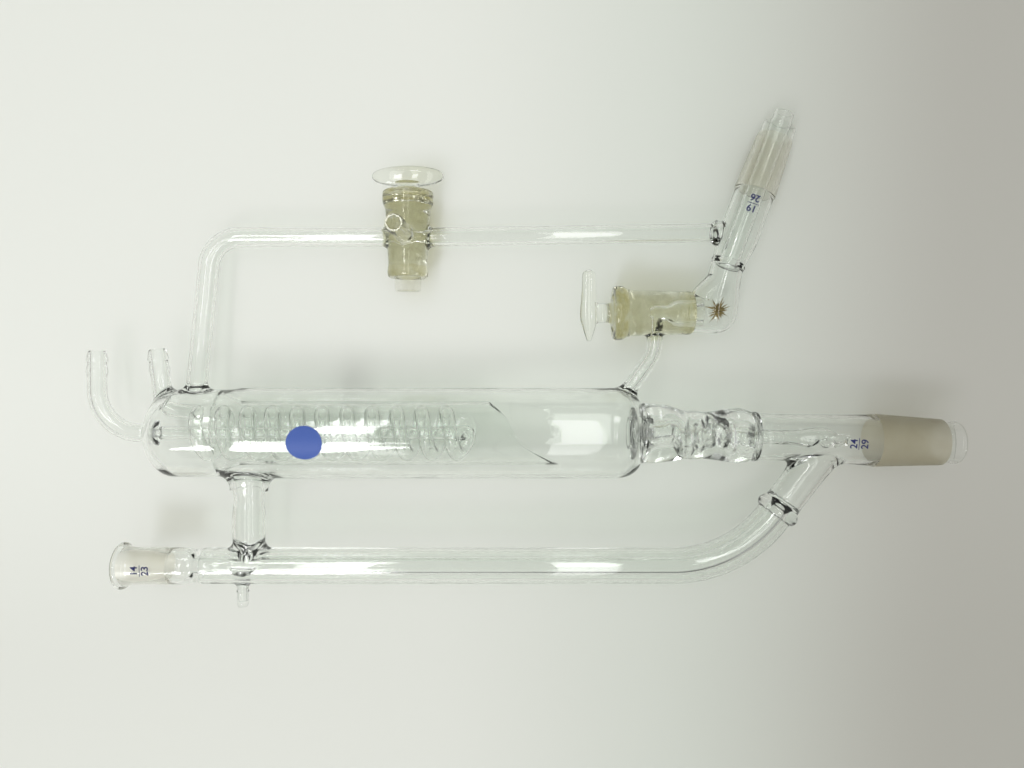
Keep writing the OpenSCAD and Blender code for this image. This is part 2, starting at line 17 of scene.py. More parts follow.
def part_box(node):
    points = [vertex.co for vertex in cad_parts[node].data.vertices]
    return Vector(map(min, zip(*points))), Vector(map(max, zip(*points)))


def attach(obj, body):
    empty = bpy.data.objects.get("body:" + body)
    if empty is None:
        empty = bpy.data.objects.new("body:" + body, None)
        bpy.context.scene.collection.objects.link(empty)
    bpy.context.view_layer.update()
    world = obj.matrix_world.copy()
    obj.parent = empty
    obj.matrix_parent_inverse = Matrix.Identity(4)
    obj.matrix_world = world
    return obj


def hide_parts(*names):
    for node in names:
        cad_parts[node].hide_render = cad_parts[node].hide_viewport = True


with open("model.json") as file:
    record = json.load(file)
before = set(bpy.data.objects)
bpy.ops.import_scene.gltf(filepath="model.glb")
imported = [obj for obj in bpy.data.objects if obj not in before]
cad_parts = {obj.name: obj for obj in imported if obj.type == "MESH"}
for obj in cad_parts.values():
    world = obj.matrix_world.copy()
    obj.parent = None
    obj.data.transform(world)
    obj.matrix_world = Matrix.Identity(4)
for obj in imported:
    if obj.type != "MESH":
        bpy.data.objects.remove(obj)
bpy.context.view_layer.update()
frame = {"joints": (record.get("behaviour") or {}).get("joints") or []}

# ---------------- sizes, in millimetres

MM = 0.001
GROUND_RATE = 1 / 20        # radius that a 1:10 taper loses each millimetre
WEB = 1.1                   # thickness of the web of a ring seal
TUBE_WALL = 1.2

SHELL_R = 20.5
SHELL_WALL = 1.6
SHELL_LEN = 188.5
SHOULDER_LEN = 11.2
SHOULDER_R = 12.6
DOME_R = 19.75
DOME_LEN = 34.8
DOME_CAP = 13.2
INNER_R = 14.3
INNER_WALL = 1.3
LIP_NEAR = 119.1
LIP_FAR = 150.5

COIL_R = 9.3
COIL_TUBE_R = 3.3
COIL_BORE_R = 2.4
COIL_PITCH = 11.2
COIL_TURNS = 10.5
COIL_X = -11.5
COIL_END = COIL_X + COIL_TURNS * COIL_PITCH
RETURN_R = 2.8
RETURN_X = COIL_END + 9
DRAW_LEN = 8                # length over which the coil's tube is drawn down to the return's size

FOOT_TILT = 1.75
CHAMBER_R = 13.4
WAIST_R = 10.3
NECK_START = 53.8
NECK_R = 10.5
CONE_START = 105.6
CONE_GROUND = 31
CONE_END = CONE_START + CONE_GROUND
CONE_R = 12
TIP_END = 144.5
TIP_R = 9.6
FOOT_WALL = 1.5
TRAP_R = 3.4
TRAP_END = 55
DRIP_BULB_R = 4.7

VAPOUR_Y = -60.3
JACKET_R = 8
JACKET_BEND = 58
VAPOUR_R = 4
CROSS_X = 11
SOCKET_MOUTH = -47.7
SOCKET_R = 7.25
SOCKET_GROUND = 23
ARM_SEAL = (250.5, -35.9)
ARM_HEADING = 52.8
ARM_LEN = 41
PIP_X = 8.2
PIP_TIP = 79.5

VENT_Y = 88.9
VENT_R = 4.1
RISER_R = 4.5
RISER_FOOT = (-13.5, 14)
RISER_TURN = (-6, VENT_Y)
RISER_LEN = 90.5            # where the riser starts to be drawn down to the line's size
VENT_CENTRE = (83.2, VENT_Y)
VENT_RIGHT = (234, 91.1)
VENT_FACE = (VENT_CENTRE[0], 109.5)
VENT_BARREL_LEN = 39
VENT_COLLAR_R = 11.5
VENT_ARM_LEAN = 2.8
VENT_ARM_R = 4
VENT_ARM_REACH = 33

TAKEOFF_FACE = (176.4, 54.5)
TAKEOFF_BARREL_LEN = 35
TAKEOFF_COLLAR_R = 12.2
TAKEOFF_ROOT = (179.1, 13.4)
TAKEOFF_TURN = (195.3, 36.3)
TAKEOFF_TOP = (195.3, 49)
TAKEOFF_BEND = 18
TAKEOFF_R = 3.5
TAKEOFF_BORE = 1.6
BULB = (223, 55)
BULB_R = 9.6
BULB_SHOULDER = (219.2, 61)
BULB_SHOULDER_R = 7.4
SHOULDER_TOP = (227, 69)

RECEIVER_SEAL = (228.7, 76.8)
RECEIVER_HEADING = 69.5
RECEIVER_R = 9.4
RECEIVER_STEP = 34.6
RECEIVER_GROUND = 26
RECEIVER_END = RECEIVER_STEP + RECEIVER_GROUND
RECEIVER_TIP = RECEIVER_END + 6.3
RECEIVER_REACH = 73
RECEIVER_DRIP_R = 4.5

KEY_BORE_R = 8.15
KEY_CLEARANCE = 0.05
KEY_WAY_R = 2.5
VENT_KEY_LEN = 45
TAKEOFF_KEY_LEN = 40.5
KEY_HOLLOW_R = 4.9
HANDLE_LEN = 32.5
VENT_HANDLE_W = 9.4
TAKEOFF_HANDLE_W = 8.2
HANDLE_T = 5.2

GROUND_SKIN = 0.5           # how far under a ground cone's surface its finish still reaches
PAST_FIT = 0.3              # how far past the end of a ground fit its finish still reaches
BARREL_REACH = 13           # nothing further than this from its axis belongs to a barrel
BARRELS = ((VENT_FACE, -90, VENT_BARREL_LEN),
           (TAKEOFF_FACE, 0, TAKEOFF_BARREL_LEN))  # collar's face, heading, length

HOSE_R = 4.1
HOSE_BORE_R = 2.7
HOSE_TURN = (-58.1, 0)
HOSE_BEND = 20
HOSE_TOP = 37.3
BARB_RISE = 0.5
SIDE_ROOT = (-27.6, 13)
SIDE_HEADING = 97.5
SIDE_LEN = 25.2

# ---------------- the drawing and the bench


def key_axis(joint_name):
    """The axis that a stopcock key turns on, in the frame of the CAD model."""
    joint = next(j for j in frame["joints"] if j["name"] == joint_name)
    return Vector(joint["axis"])


ROLL = -math.asin(key_axis("vent_key_turn").z)
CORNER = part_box("glass_body")[0]
AT_REST = (
    Matrix.Translation(CORNER + Vector((
        -(HOSE_TURN[0] - HOSE_R - BARB_RISE), PIP_TIP * math.cos(ROLL), SHELL_R)) * MM)
    @ Matrix.Rotation(-ROLL, 4, "X")
    @ Matrix.Scale(MM, 4)
)


def heading(a, b):
    """Direction from a to b in the drawing plane, in degrees."""
    return math.degrees(math.atan2(b[1] - a[1], b[0] - a[0]))


def step(point, angle, distance):
    """The point at a distance from another along a heading."""
    a = math.radians(angle)
    return (point[0] + distance * math.cos(a), point[1] + distance * math.sin(a))


def rotated(angle, axis):
    """A turn about an axis, in degrees."""
    return Matrix.Rotation(math.radians(angle), 4, axis)


def laid(point, angle):
    """Turns what is built along +Z so that it starts at point and runs along a heading."""
    return Matrix.Translation((*point, 0)) @ rotated(angle, "Z") @ rotated(90, "Y")


def reckoned(x, y, z, point, angle):
    """How far along an axis in the drawing plane a place is, and how far off it."""
    c, s = math.cos(math.radians(angle)), math.sin(math.radians(angle))
    dx, dy = x - point[0], y - point[1]
    across = dy * c - dx * s
    return dx * c + dy * s, (across * across + z * z) ** 0.5


ALONG_AXIS = laid((0, 0), 0)
FOOT = laid((SHELL_LEN, 0), -FOOT_TILT)
VENT_ARM = Matrix.Translation((*VENT_CENTRE, 0)) @ rotated(-VENT_ARM_LEAN, "Y")

# ---------------- glassblowing in mesh code


def flow(points, pitch=1.2):
    """A smooth curve through points, as a list of points about a pitch apart."""
    knots = [Vector(p) for p in points]
    knots = [2 * knots[0] - knots[1], *knots, 2 * knots[-1] - knots[-2]]
    curve = []
    for before, start, end, after in zip(knots, knots[1:], knots[2:], knots[3:]):
        pieces = max(1, round((end - start).length / pitch))
        for i in range(pieces):
            t = i / pieces
            curve.append(0.5 * (2 * start + (end - before) * t
                                + (2 * before - 5 * start + 4 * end - after) * t ** 2
                                + (3 * start - before - 3 * end + after) * t ** 3))
    return [tuple(p) for p in curve] + [tuple(points[-1])]


def arc(centre, radii, start, end, pieces):
    """Points on an elliptic arc between two angles in degrees."""
    turn = [math.radians(start + (end - start) * i / pieces) for i in range(pieces + 1)]
    return [(centre[0] + radii[0] * math.cos(a), centre[1] + radii[1] * math.sin(a)) for a in turn]


def past(along, *points):
    """Points of (radius, distance) whose distances are counted from a place along the axis."""
    return [(radius, along + more) for radius, more in points]


def placed(name, data):
    """An object in the scene that holds a mesh, a curve, a lamp or the camera."""
    piece = bpy.data.objects.new(name, data)
    bpy.context.scene.collection.objects.link(piece)
    return piece


def as_mesh(name, glass):
    """The mesh that a bmesh was built up for."""
    mesh = bpy.data.meshes.new(name)
    glass.to_mesh(mesh)
    glass.free()
    return mesh


def evaluated(piece):
    """A plain mesh of an object with its modifiers applied."""
    return bpy.data.meshes.new_from_object(
        piece.evaluated_get(bpy.context.evaluated_depsgraph_get()))


def as_object(name, grid, ring=False, matrix=None):
    """A closed mesh from rings of points; ring joins the last ring to the first."""
    glass = bmesh.new()
    rings = [[glass.verts.new(p) for p in points] for points in grid]
    for low, high in zip(rings, rings[1:] + rings[:1] if ring else rings[1:]):
        count = max(len(low), len(high))
        for i in range(count):
            a, b = low[i % len(low)], low[(i + 1) % len(low)]
            c, d = high[(i + 1) % len(high)], high[i % len(high)]
            glass.faces.new(list(dict.fromkeys((a, b, c, d))))
    if not ring:
        for end in (rings[0], rings[-1]):
            if len(end) > 1:
                glass.faces.new(end)
    bmesh.ops.recalc_face_normals(glass, faces=glass.faces)
    mesh = as_mesh(name, glass)
    if matrix is not None:
        mesh.transform(matrix)
    return placed(name, mesh)


def turned(name, outline, matrix, sides=48, ring=False, warp=None):
    """A lathe-turned solid about +Z; the outline is a list of (radius, distance)."""
    grid = []
    for radius, along in outline:
        if radius < 1e-6:
            grid.append([(0, 0, along)])
            continue
        points = []
        for i in range(sides):
            a = 2 * math.pi * i / sides
            point = (radius * math.cos(a), radius * math.sin(a), along)
            points.append(warp(Vector(point)) if warp else point)
        grid.append(points)
    return as_object(name, grid, ring, matrix)


def filled(name, wall, matrix, sides=48, warp=None):
    """A turned solid whose wall is closed flat, onto the axis, at both ends."""
    return turned(name, [(0, wall[0][1]), *wall, (0, wall[-1][1])], matrix, sides, warp=warp)


def rod(name, radius, start, end, matrix, sides):
    """A plain cylinder from start to end along the matrix's +Z."""
    return filled(name, [(radius, start), (radius, end)], matrix, sides)


def nodes_tree(name, inputs, output):
    """An empty Geometry Nodes tree, a way to join its nodes by their sockets, and both its ends."""
    tree = bpy.data.node_groups.new(name, "GeometryNodeTree")
    for label, kind, value in inputs:
        face = tree.interface.new_socket(label, in_out="INPUT", socket_type=f"NodeSocket{kind}")
        if value is not None:
            face.default_value = value
    tree.interface.new_socket(output, in_out="OUTPUT", socket_type="NodeSocketGeometry")

    def join(source, output, target, socket):
        tree.links.new(source.outputs[output], target.inputs[socket])
    return tree, join, tree.nodes.new("NodeGroupInput"), tree.nodes.new("NodeGroupOutput")


def tree_end(tree, join, given, source, output, made, result):
    """Realizes the instances that a tree made, gives them their material and lets them out."""
    real, finish = map(tree.nodes.new, ("GeometryNodeRealizeInstances", "GeometryNodeSetMaterial"))
    join(source, output, real, "Geometry")
    join(real, "Geometry", finish, "Geometry")
    join(given, "Finish", finish, "Material")
    join(finish, "Geometry", made, result)


def tube_tree():
    """Geometry Nodes that sweep a round tube along a curve, as wide as the curve's own radius."""
    tree, join, given, made = nodes_tree("tube along a path", (
        ("Path", "Geometry", None), ("Width", "Float", 1.0), ("Sides", "Int", 32),
        ("Finish", "Material", None)), "Tube")
    section = tree.nodes.new("GeometryNodeCurvePrimitiveCircle")
    width = tree.nodes.new("GeometryNodeInputRadius")
    sweep = tree.nodes.new("GeometryNodeCurveToMesh")
    sweep.inputs["Fill Caps"].default_value = True
    join(given, "Path", sweep, "Curve")
    join(given, "Width", section, "Radius")
    join(given, "Sides", section, "Resolution")
    join(section, "Curve", sweep, "Profile Curve")
    join(width, "Radius", sweep, "Scale")
    tree_end(tree, join, given, sweep, "Mesh", made, "Tube")
    return tree


TUBE_TREE = tube_tree()


def set_inputs(modifier, **values):
    """Sets a Geometry Nodes modifier's inputs by the names that its tree gives them."""
    for item in modifier.node_group.interface.items_tree:
        if item.in_out == "INPUT" and item.name in values:
            modifier[item.identifier] = values[item.name]


def grown(source, name):
    """The plain mesh object that a source's Geometry Nodes make; the source is thrown away."""
    mesh = evaluated(source)
    bpy.data.objects.remove(source)
    return placed(name, mesh)


def run_lengths(path):
    """How far along a path each of its points is."""
    reach = [0.0]
    for a, b in zip(path, path[1:]):
        reach.append(reach[-1] + (Vector(b) - Vector(a)).length)
    return reach


def swept(name, path, radius, sides=32, matrix=None):
    """A tube of round section along a path of (x, y) or (x, y, z) points, closed at both ends.

    The radius is a number or a function of how far along the path the section is, from 0 to 1.
    """
    points = [Vector((*p, 0)) if len(p) == 2 else Vector(p) for p in path]
    reach = run_lengths(points)
    curve = bpy.data.curves.new(name, "CURVE")
    curve.dimensions = "3D"
    curve.twist_mode = "MINIMUM"
    run = curve.splines.new("POLY")
    run.points.add(len(points) - 1)
    for spot, point, gone in zip(run.points, points, reach):
        spot.co = (*point, 1)
        spot.radius = radius(gone / reach[-1]) if callable(radius) else radius
    path_object = placed(name, curve)
    sweep = path_object.modifiers.new("tube", "NODES")
    sweep.node_group = TUBE_TREE
    set_inputs(sweep, Sides=sides)
    piece = grown(path_object, name)
    weld_up(piece.data)
    if matrix is not None:
        piece.data.transform(matrix)
    return piece


def weld_up(mesh, gap=1e-4):
    """Merges doubled points and turns every face outwards."""
    glass = bmesh.new()
    glass.from_mesh(mesh)
    bmesh.ops.remove_doubles(glass, verts=glass.verts, dist=gap)
    bmesh.ops.recalc_face_normals(glass, faces=glass.faces)
    glass.to_mesh(mesh)
    glass.free()


def bent_path(start, corner, end, bend, pitch=2.0):
    """A straight run, an arc of radius bend round the corner, and another straight run."""
    a, v, b = Vector(start), Vector(corner), Vector(end)
    into, out = (v - a).normalized(), (b - v).normalized()
    turn = into.angle_signed(out)
    cut = bend * math.tan(abs(turn) / 2)
    first, last = v - into * cut, v + out * cut
    left = Vector((-into.y, into.x))
    side = 1 if left.dot(out) > 0 else -1
    centre = first + left * bend * side
    pieces = max(4, round(bend * abs(turn) / pitch))
    arm = first - centre
    curve = []
    for i in range(pieces + 1):
        swing = side * abs(turn) * i / pieces
        c, s = math.cos(swing), math.sin(swing)
        curve.append((centre.x + arm.x * c - arm.y * s, centre.y + arm.x * s + arm.y * c))
    return [tuple(a), *straight(a, first, 12)[1:-1], *curve, *straight(last, b, 12)[1:-1], tuple(b)]


def straight(a, b, pitch=6.0):
    """Points along a straight run, no more than a pitch apart."""
    a, b = Vector(a), Vector(b)
    pieces = max(1, math.ceil((b - a).length / pitch))
    return [tuple(a.lerp(b, i / pieces)) for i in range(pieces + 1)]


def combine(base, tool, operation):
    """Fuses a tool to the base or cuts it away, and throws the tool away."""
    change = base.modifiers.new("join", "BOOLEAN")
    change.operation = operation
    change.solver = "MANIFOLD"
    change.object = tool
    shape = evaluated(base)
    base.modifiers.clear()
    if len(shape.polygons) == 0:
        raise RuntimeError(f"{tool.name}: nothing is left after {operation}")
    base.data = shape
    bpy.data.objects.remove(tool)


def fuse(base, *tools):
    for tool in tools:
        combine(base, tool, "UNION")


def cut(base, *tools):
    for tool in tools:
        combine(base, tool, "DIFFERENCE")


def fillet(base, name, matrix, radius, flare, rise, start=40.0, sides=48):
    """The flared foot of a tube that is melted onto the base.

    The tube runs along the matrix's +Z. Rays sent back along it find the base's surface, so the
    flare follows that surface all the way round.
    """
    tree = BVHTree.FromObject(base, bpy.context.evaluated_depsgraph_get())
    down = (matrix.to_3x3() @ Vector((0, 0, -1))).normalized()
    inverse = matrix.inverted()

    def surface(x, y):
        hit, *_ = tree.ray_cast(matrix @ Vector((x, y, start)), down)
        return None if hit is None else (inverse @ hit).z

    steps = 7
    inset = 0.15            # how far inside the tube's wall the flare starts
    sink = 0.06             # how far its last ring lies under the base's surface
    grid = []
    heights = {}
    for i in range(steps + 1):
        turn = math.radians(90 * i / steps)
        reach = radius - inset + flare * (1 - math.cos(turn)) * (inset / flare + 1)
        lift = rise * (1 - math.sin(turn))
        ring = []
        for k in range(sides):
            a = 2 * math.pi * k / sides
            x, y = reach * math.cos(a), reach * math.sin(a)
            floor = surface(x, y)
            heights[k] = floor = heights.get(k, 0) - 1 if floor is None else floor
            ring.append((x, y, floor + lift - (sink if i == steps else 0)))
        grid.append(ring)
    sunk = [(x * 0.98, y * 0.98, z - 0.7) for x, y, z in grid[-1]]
    middle = sum(z for _, _, z in sunk) / len(sunk)
    grid = [[(0, 0, sum(z for _, _, z in grid[0]) / sides)], *grid, sunk, [(0, 0, middle)]]
    return as_object(name, grid, matrix=matrix)


# ---------------- condenser


def spread(p, centre, reach):
    """How strongly a dab of heat at centre acts on a point, from 0 to 1."""
    return math.exp(-(p - Vector(centre)).length_squared / (2 * reach ** 2))


def pushed_in(dabs):
    """A warp that draws a wall towards the axis at each dab of (centre, reach, depth)."""
    def warp(p):
        depth = sum(d * spread(p, c, r) for c, r, d in dabs)
        across = Vector((p.x, p.y, 0))
        return tuple(p - across.normalized() * depth)
    return warp


def domed(name, tip, cap, seal, shoulder, end):
    """A long solid of a dome, the ring seal's zone, a straight run and a rounded shoulder."""
    cap[0] = (0, tip)
    run = straight(seal[-1], shoulder[0], 14)[1:-1]
    return turned(name, cap + seal + run + shoulder + [(0, end)], ALONG_AXIS, 72)


def blown_condenser():
    """Dome, condenser shell and rounded shoulder, before the cavity is cut."""
    cap = arc((0, DOME_CAP - DOME_LEN), (DOME_R, DOME_CAP), -90, 0, 18)
    seal = flow([(DOME_R, -14), (DOME_R, -4), (DOME_R - 0.05, 0.4), (DOME_R + 0.1, 4),
                 (SHELL_R, 8.5), (SHELL_R, 15)], 2)
    seal = [(min(radius, SHELL_R), along) for radius, along in seal]
    shoulder = arc((SHOULDER_R, SHELL_LEN - SHOULDER_LEN), (SHELL_R - SHOULDER_R, SHOULDER_LEN),
                   0, 90, 12)
    return domed("condenser", -DOME_LEN, cap, seal, shoulder, SHELL_LEN)


def condenser_cavity():
    """The hollow inside the dome and the condenser shell."""
    inner_dome = DOME_R - SHELL_WALL
    inner_shell = SHELL_R - SHELL_WALL
    floor_r = SHOULDER_R - 2.2
    cap = arc((0, DOME_CAP - DOME_LEN + SHELL_WALL), (inner_dome, DOME_CAP), -90, 0, 18)
    seal = flow([(inner_dome, -12), (inner_dome, -4), (inner_dome - 0.4, 1), (inner_shell, 9),
                 (inner_shell, 15)], 2)
    shoulder = arc((floor_r, SHELL_LEN - SHOULDER_LEN),
                   (inner_shell - floor_r, SHOULDER_LEN - SHELL_WALL), 0, 90, 12)
    return domed("cavity", SHELL_WALL - DOME_LEN, cap, seal, shoulder, SHELL_LEN - SHELL_WALL)


def inner_tube():
    """The tube round the coil: it flares into the ring seal, and its lip is cut like a beak."""
    bore_r = INNER_R - INNER_WALL
    far = LIP_FAR + 4
    outside = flow([(DOME_R - 1.1, -0.4), (DOME_R - 2, 1.1), (INNER_R + 1.9, 3.6),
                    (INNER_R + 0.6, 6.4), (INNER_R, 10)], 1) + straight(
                        (INNER_R, 14), (INNER_R, far), 10)
    inside = straight((bore_r, far), (bore_r, 14), 10) + flow(
        [(bore_r, 9.6), (bore_r + 0.5, 6.2), (INNER_R + 1, 3), (DOME_R - 2.2, -0.3),
         (DOME_R - 1.2, -1.6)], 1)
    skew = 0.5

    def slumped(p):
        across = math.hypot(p.x, p.y)
        loose = max(0, across - INNER_R) / (DOME_R - INNER_R)
        return (p.x, p.y, p.z + skew * loose * math.sin(2 * math.atan2(p.y, p.x) + 0.6))

    tube = turned("inner tube", outside + inside, ALONG_AXIS, 64, ring=True, warp=slumped)
    beak = flow([(114, 17), (LIP_NEAR, 15), (124.1, 10.6), (128.6, 5.5), (131.4, 0), (134, -4.1),
                 (139, -7.3), (145.5, -10.9), (LIP_FAR, -13.8), (LIP_FAR + 3.5, -16)], 2)
    outline = [*beak, (far + 20, -17), (far + 20, 17)]
    shear = as_object("shear", [[(x, y, z) for x, y in outline] for z in (-17, 17)])
    cut(tube, shear)
    return tube


def water_path(start_reach, top_x):
    """The way of the cooling water: side connector, coil, link, straight return to the dome's end."""
    rings = 26
    coil = []
    for i in range(round(COIL_TURNS * rings) + 1):
        a = 2 * math.pi * i / rings
        coil.append((COIL_X + COIL_PITCH * i / rings, COIL_R * math.cos(a), COIL_R * math.sin(a)))
    entry = step(SIDE_ROOT, SIDE_HEADING, start_reach)
    lead_in = flow([(*entry, 0), (*SIDE_ROOT, 0), (-23, 10.6, -0.4), (-16.5, 9.6, -0.6), coil[0]], 1.5)
    link = flow([coil[-1], (COIL_END + 1.6, -COIL_R + 1.6, -2.6), (COIL_END + 4.2, -3.6, -1.6),
                 (COIL_END + 4.4, -0.4, -0.2), (RETURN_X - 7, 0, 0), (COIL_END - 6, 0, 0)], 1.2)
    home = straight((COIL_END - 9, 0, 0), (top_x, 0, 0), 7)
    return lead_in[:-1] + coil + link[1:] + home


def water_radius(path, coil_r, return_r):
    """The tube's radius along the water's way: the coil is wider than the straight return."""
    whole = run_lengths(path)[-1]
    drawn_down = whole - (COIL_END + DOME_LEN)

    def radius(t):
        blend = min(1, max(0, (t * whole - drawn_down) / DRAW_LEN))
        return coil_r + (return_r - coil_r) * blend
    return radius


def water_tube(name, start_reach, top_x, coil_r, return_r, sides):
    path = water_path(start_reach, top_x)
    return swept(name, path, water_radius(path, coil_r, return_r), sides)


def bell():
    """The flare that seals the axial connector into the dome."""
    wall = flow(past(-DOME_LEN, (7.5, 1.1), (6.3, 2.2), (4.2, 3.6), (RETURN_R - 0.1, 7)), 0.8)
    return filled("bell", wall, ALONG_AXIS, 40)


# ---------------- liquid seal, neck and flask cone

CHAMBER_DABS = [
    ((0, 12.5, 19.4), 3.2, 0.35), ((1.5, 11.5, 29.5), 3.0, 0.35), ((-5, 10, 25), 4.0, 0.2),
    ((2, -13, 9), 4.5, 0.15), ((4, -11, 24), 5.0, 0.1), ((0, 12.5, 44), 3.0, -0.4),
    ((-9, 4, 14), 4.5, 0.2), ((-10, -4, 33), 5.0, 0.2), ((3, -12.5, 40), 4.0, 0.15),
]


def chamber_profile(wall):
    """The chamber's waisted outline, moved in by a wall's thickness."""
    big, small = CHAMBER_R - wall, WAIST_R - wall
    return flow([(big, 3), (big, 8), (big - 0.9, 14), (small + 0.9, 19.5), (small + 1, 24.5),
                 (small + 0.6, 29), (small + 0.9, 34), (big - 1.3, 40), (big - 1, 45)], 1.5)


def lower_part():
    """The liquid seal's chamber, the neck, and the flask cone with its tip."""
    ground_end = CONE_R - CONE_GROUND * GROUND_RATE
    neck = flow([(10.9, 50.3), (11.3, 51.8), (10.7, NECK_START), (NECK_R, 58), (NECK_R + 0.1, 70),
                 (11, 90), (11.6, CONE_START - 3)], 4)
    wall = ([(11.4, -2.4), (12.1, -1.2), (13.7, 1.2)] + chamber_profile(0) + [(11.7, 48.4)] + neck
            + past(CONE_START, (11.9, -0.4), (CONE_R, 0))
            + straight((CONE_R, CONE_START + 0.3), (ground_end, CONE_END - 0.2), 6)
            + flow(past(CONE_END, (ground_end - 0.3, 0), (TIP_R + 0.1, 1.2), (TIP_R - 0.4, 3))
                   + past(TIP_END, (TIP_R - 0.1, -3), (TIP_R, -1.6)), 1)
            + past(TIP_END, (TIP_R - 0.3, -0.6), (TIP_R - 0.8, -0.1), (TIP_R - 1.2, 0)))
    return filled("lower part", wall, FOOT, 64, pushed_in(CHAMBER_DABS))


def chamber_cavity():
    bore = [(10.6, 0.6)] + chamber_profile(FOOT_WALL) + [(9.4, 49.4), (8, 50.2)]
    return filled("chamber cavity", bore, FOOT, 64, pushed_in(CHAMBER_DABS))


def neck_cavity():
    cone_bore = CONE_R - 2
    bore = [(8, 52.6)] + flow([(8.6, 53.2), (NECK_R - FOOT_WALL, 57), (9.1, 70), (9.6, 90),
                               (cone_bore, CONE_START - 1)], 4)
    bore += [(cone_bore - 0.1, CONE_START + 2), (8.5, CONE_END)]
    return filled("neck cavity", bore + past(TIP_END, (8.1, -0.9), (8.5, -0.2), (8.9, 1)), FOOT, 64)


def seal_path():
    """The waved seal tube winds loosely down the chamber."""
    path = []
    pieces = 89
    for i in range(pieces + 1):
        s = 5 + (TRAP_END - 5.6) * i / pieces
        calm = math.sin(math.pi * i / pieces) ** 0.5
        path.append((s, calm * (0.65 * math.sin(s / 1.67) + 1.3 * math.sin(s / 4.3)),
                     calm * (0.5 * math.cos(s / 1.5 + 0.7) + 0.9 * math.cos(s / 5.1))))
    return path


def seal_tube(name, radius, cup_r, bulb_r, nozzle_r, more):
    """Overflow lip, waved seal tube and drip tube; more runs each open end on."""
    lip = -4.2
    cup = filled(f"{name} cup", [(cup_r, lip - more)] + flow(
        [(cup_r, lip + 0.5), (cup_r - 0.4, 0), (radius + 1.6, 2.8), (radius + 0.2, 6),
         (radius - 0.4, 9)], 1), FOOT, 40)

    def lumpy(t):
        return radius + 0.45 * math.sin(61 * t + math.sin(17 * t)) * math.sin(math.pi * t)

    wave = swept(f"{name} wave", seal_path(), lumpy, 28, FOOT @ rotated(-90, "Y"))
    drip = filled(f"{name} drip", flow(past(
        TRAP_END, (radius - 0.5, -3), (radius - 0.2, 2), (radius - 0.2, 9), (radius, 16),
        (bulb_r, 24), (bulb_r + 0.3, 28), (bulb_r - 0.4, 31), (nozzle_r + 0.6, 33.2),
        (nozzle_r, 35.5), (nozzle_r - 0.4, 40 + more)), 1.2), FOOT, 36)
    fuse(cup, wave, drip)
    return cup


# ---------------- jacketed vapour tube

JACKET_TURN = (ARM_SEAL[0] - (ARM_SEAL[1] - VAPOUR_Y) / math.tan(math.radians(ARM_HEADING)),
               VAPOUR_Y)
CROSS_DOWN = laid((CROSS_X, 0), -90)
CROSS_UP = laid((CROSS_X, VAPOUR_Y), 90)
PIP_DOWN = laid((PIP_X, VAPOUR_Y), -90)
ARM_UP = laid(ARM_SEAL, ARM_HEADING)
ARM_DOWN = laid(step(ARM_SEAL, ARM_HEADING, ARM_LEN), ARM_HEADING + 180)
SOCKET_IN = laid((SOCKET_MOUTH, VAPOUR_Y), 0)


def vapour_path(from_seal, to_x):
    """The way of the jacket and of the tube in it, from the arm's seal to the socket's end."""
    start = step(ARM_SEAL, ARM_HEADING, from_seal)
    return bent_path(start, JACKET_TURN, (to_x, VAPOUR_Y), JACKET_BEND)


def add_vapour_tube(body):
    """Vacuum jacket, thermometer socket, side arm into the neck, cross tube and pumped-out pip."""
    jacket = swept("jacket", vapour_path(0, -8), JACKET_R, 48)
    socket = filled("socket", [(9.7, 0)] + flow(
        [(10.1, 0.3), (10.6, 1.1), (10.4, 2.4), (9.2, 3.9), (8.5, 6), (8.25, 9)], 0.5)
        + straight((8.2, 12), (8.2, 28), 8) + flow(
        [(8.1, 30), (7.6, 33), (7.3, 35), (7.9, 38), (8.1, 40.5), (7.8, 43)], 1), SOCKET_IN, 56)
    arm = filled("side arm", [(8.3, -1.5)] + flow(
        [(8.9, -1.1), (9.7, 0.2), (9.7, 1.9), (8.9, 3.4), (8.1, 5), (7.9, 10), (8, 22), (8.4, 30)],
        0.8) + [(8.4, ARM_LEN)], ARM_UP, 48)
    pip_end = PIP_TIP + VAPOUR_Y
    pip = turned("pip", past(JACKET_R - 2, (0, 0), (3, 0)) + flow(
        past(JACKET_R - 2, (2.7, 3.4), (2.3, 4.4), (2.8, 5.4), (2.4, 6.4), (2.5, 8))
        + past(pip_end, (2.5, -2.2), (1.9, -0.7), (0.8, -0.1)), 0.5) + [(0, pip_end)], PIP_DOWN, 24)
    cross = filled("cross tube", [(8.6, 16)] + flow(
        [(8.4, 20), (7.6, 24), (6.7, 28), (6.5, 31), (7, 35), (7.15, 40), (7.1, 48)], 1)
        + [(7.1, 55)], CROSS_DOWN, 44)
    fuse(jacket, socket)
    pip_foot = fillet(jacket, "pip foot", PIP_DOWN, 2.6, 2.2, 2.2, 30)
    cross_foot = fillet(jacket, "cross tube foot", CROSS_UP, 7.1, 3.4, 4.5, 30, 56)
    cross_shoulder = fillet(body, "cross tube shoulder", CROSS_DOWN, 8.5, 4.5, 6, 40, 56)
    arm_foot = fillet(body, "side arm foot", ARM_DOWN, 8.4, 3.4, 5, 36, 56)
    fuse(jacket, pip, pip_foot, cross_foot, arm)
    fuse(body, cross_shoulder, arm_foot, cross, jacket)


def cut_jacket_space(body):
    space = swept("space", vapour_path(-0.6, -9.5), JACKET_R - WEB, 44)
    fuse(space, rod("pip passage", 1.3, 5, 16, PIP_DOWN, 16))
    cut(body, space)


def add_vapour_inner(body):
    inner = swept("vapour tube", vapour_path(1.5, -12), VAPOUR_R, 32)
    fuse(inner, rod("sleeve", VAPOUR_R - 0.2, 50, 60, CROSS_DOWN, 32))
    fuse(body, inner)


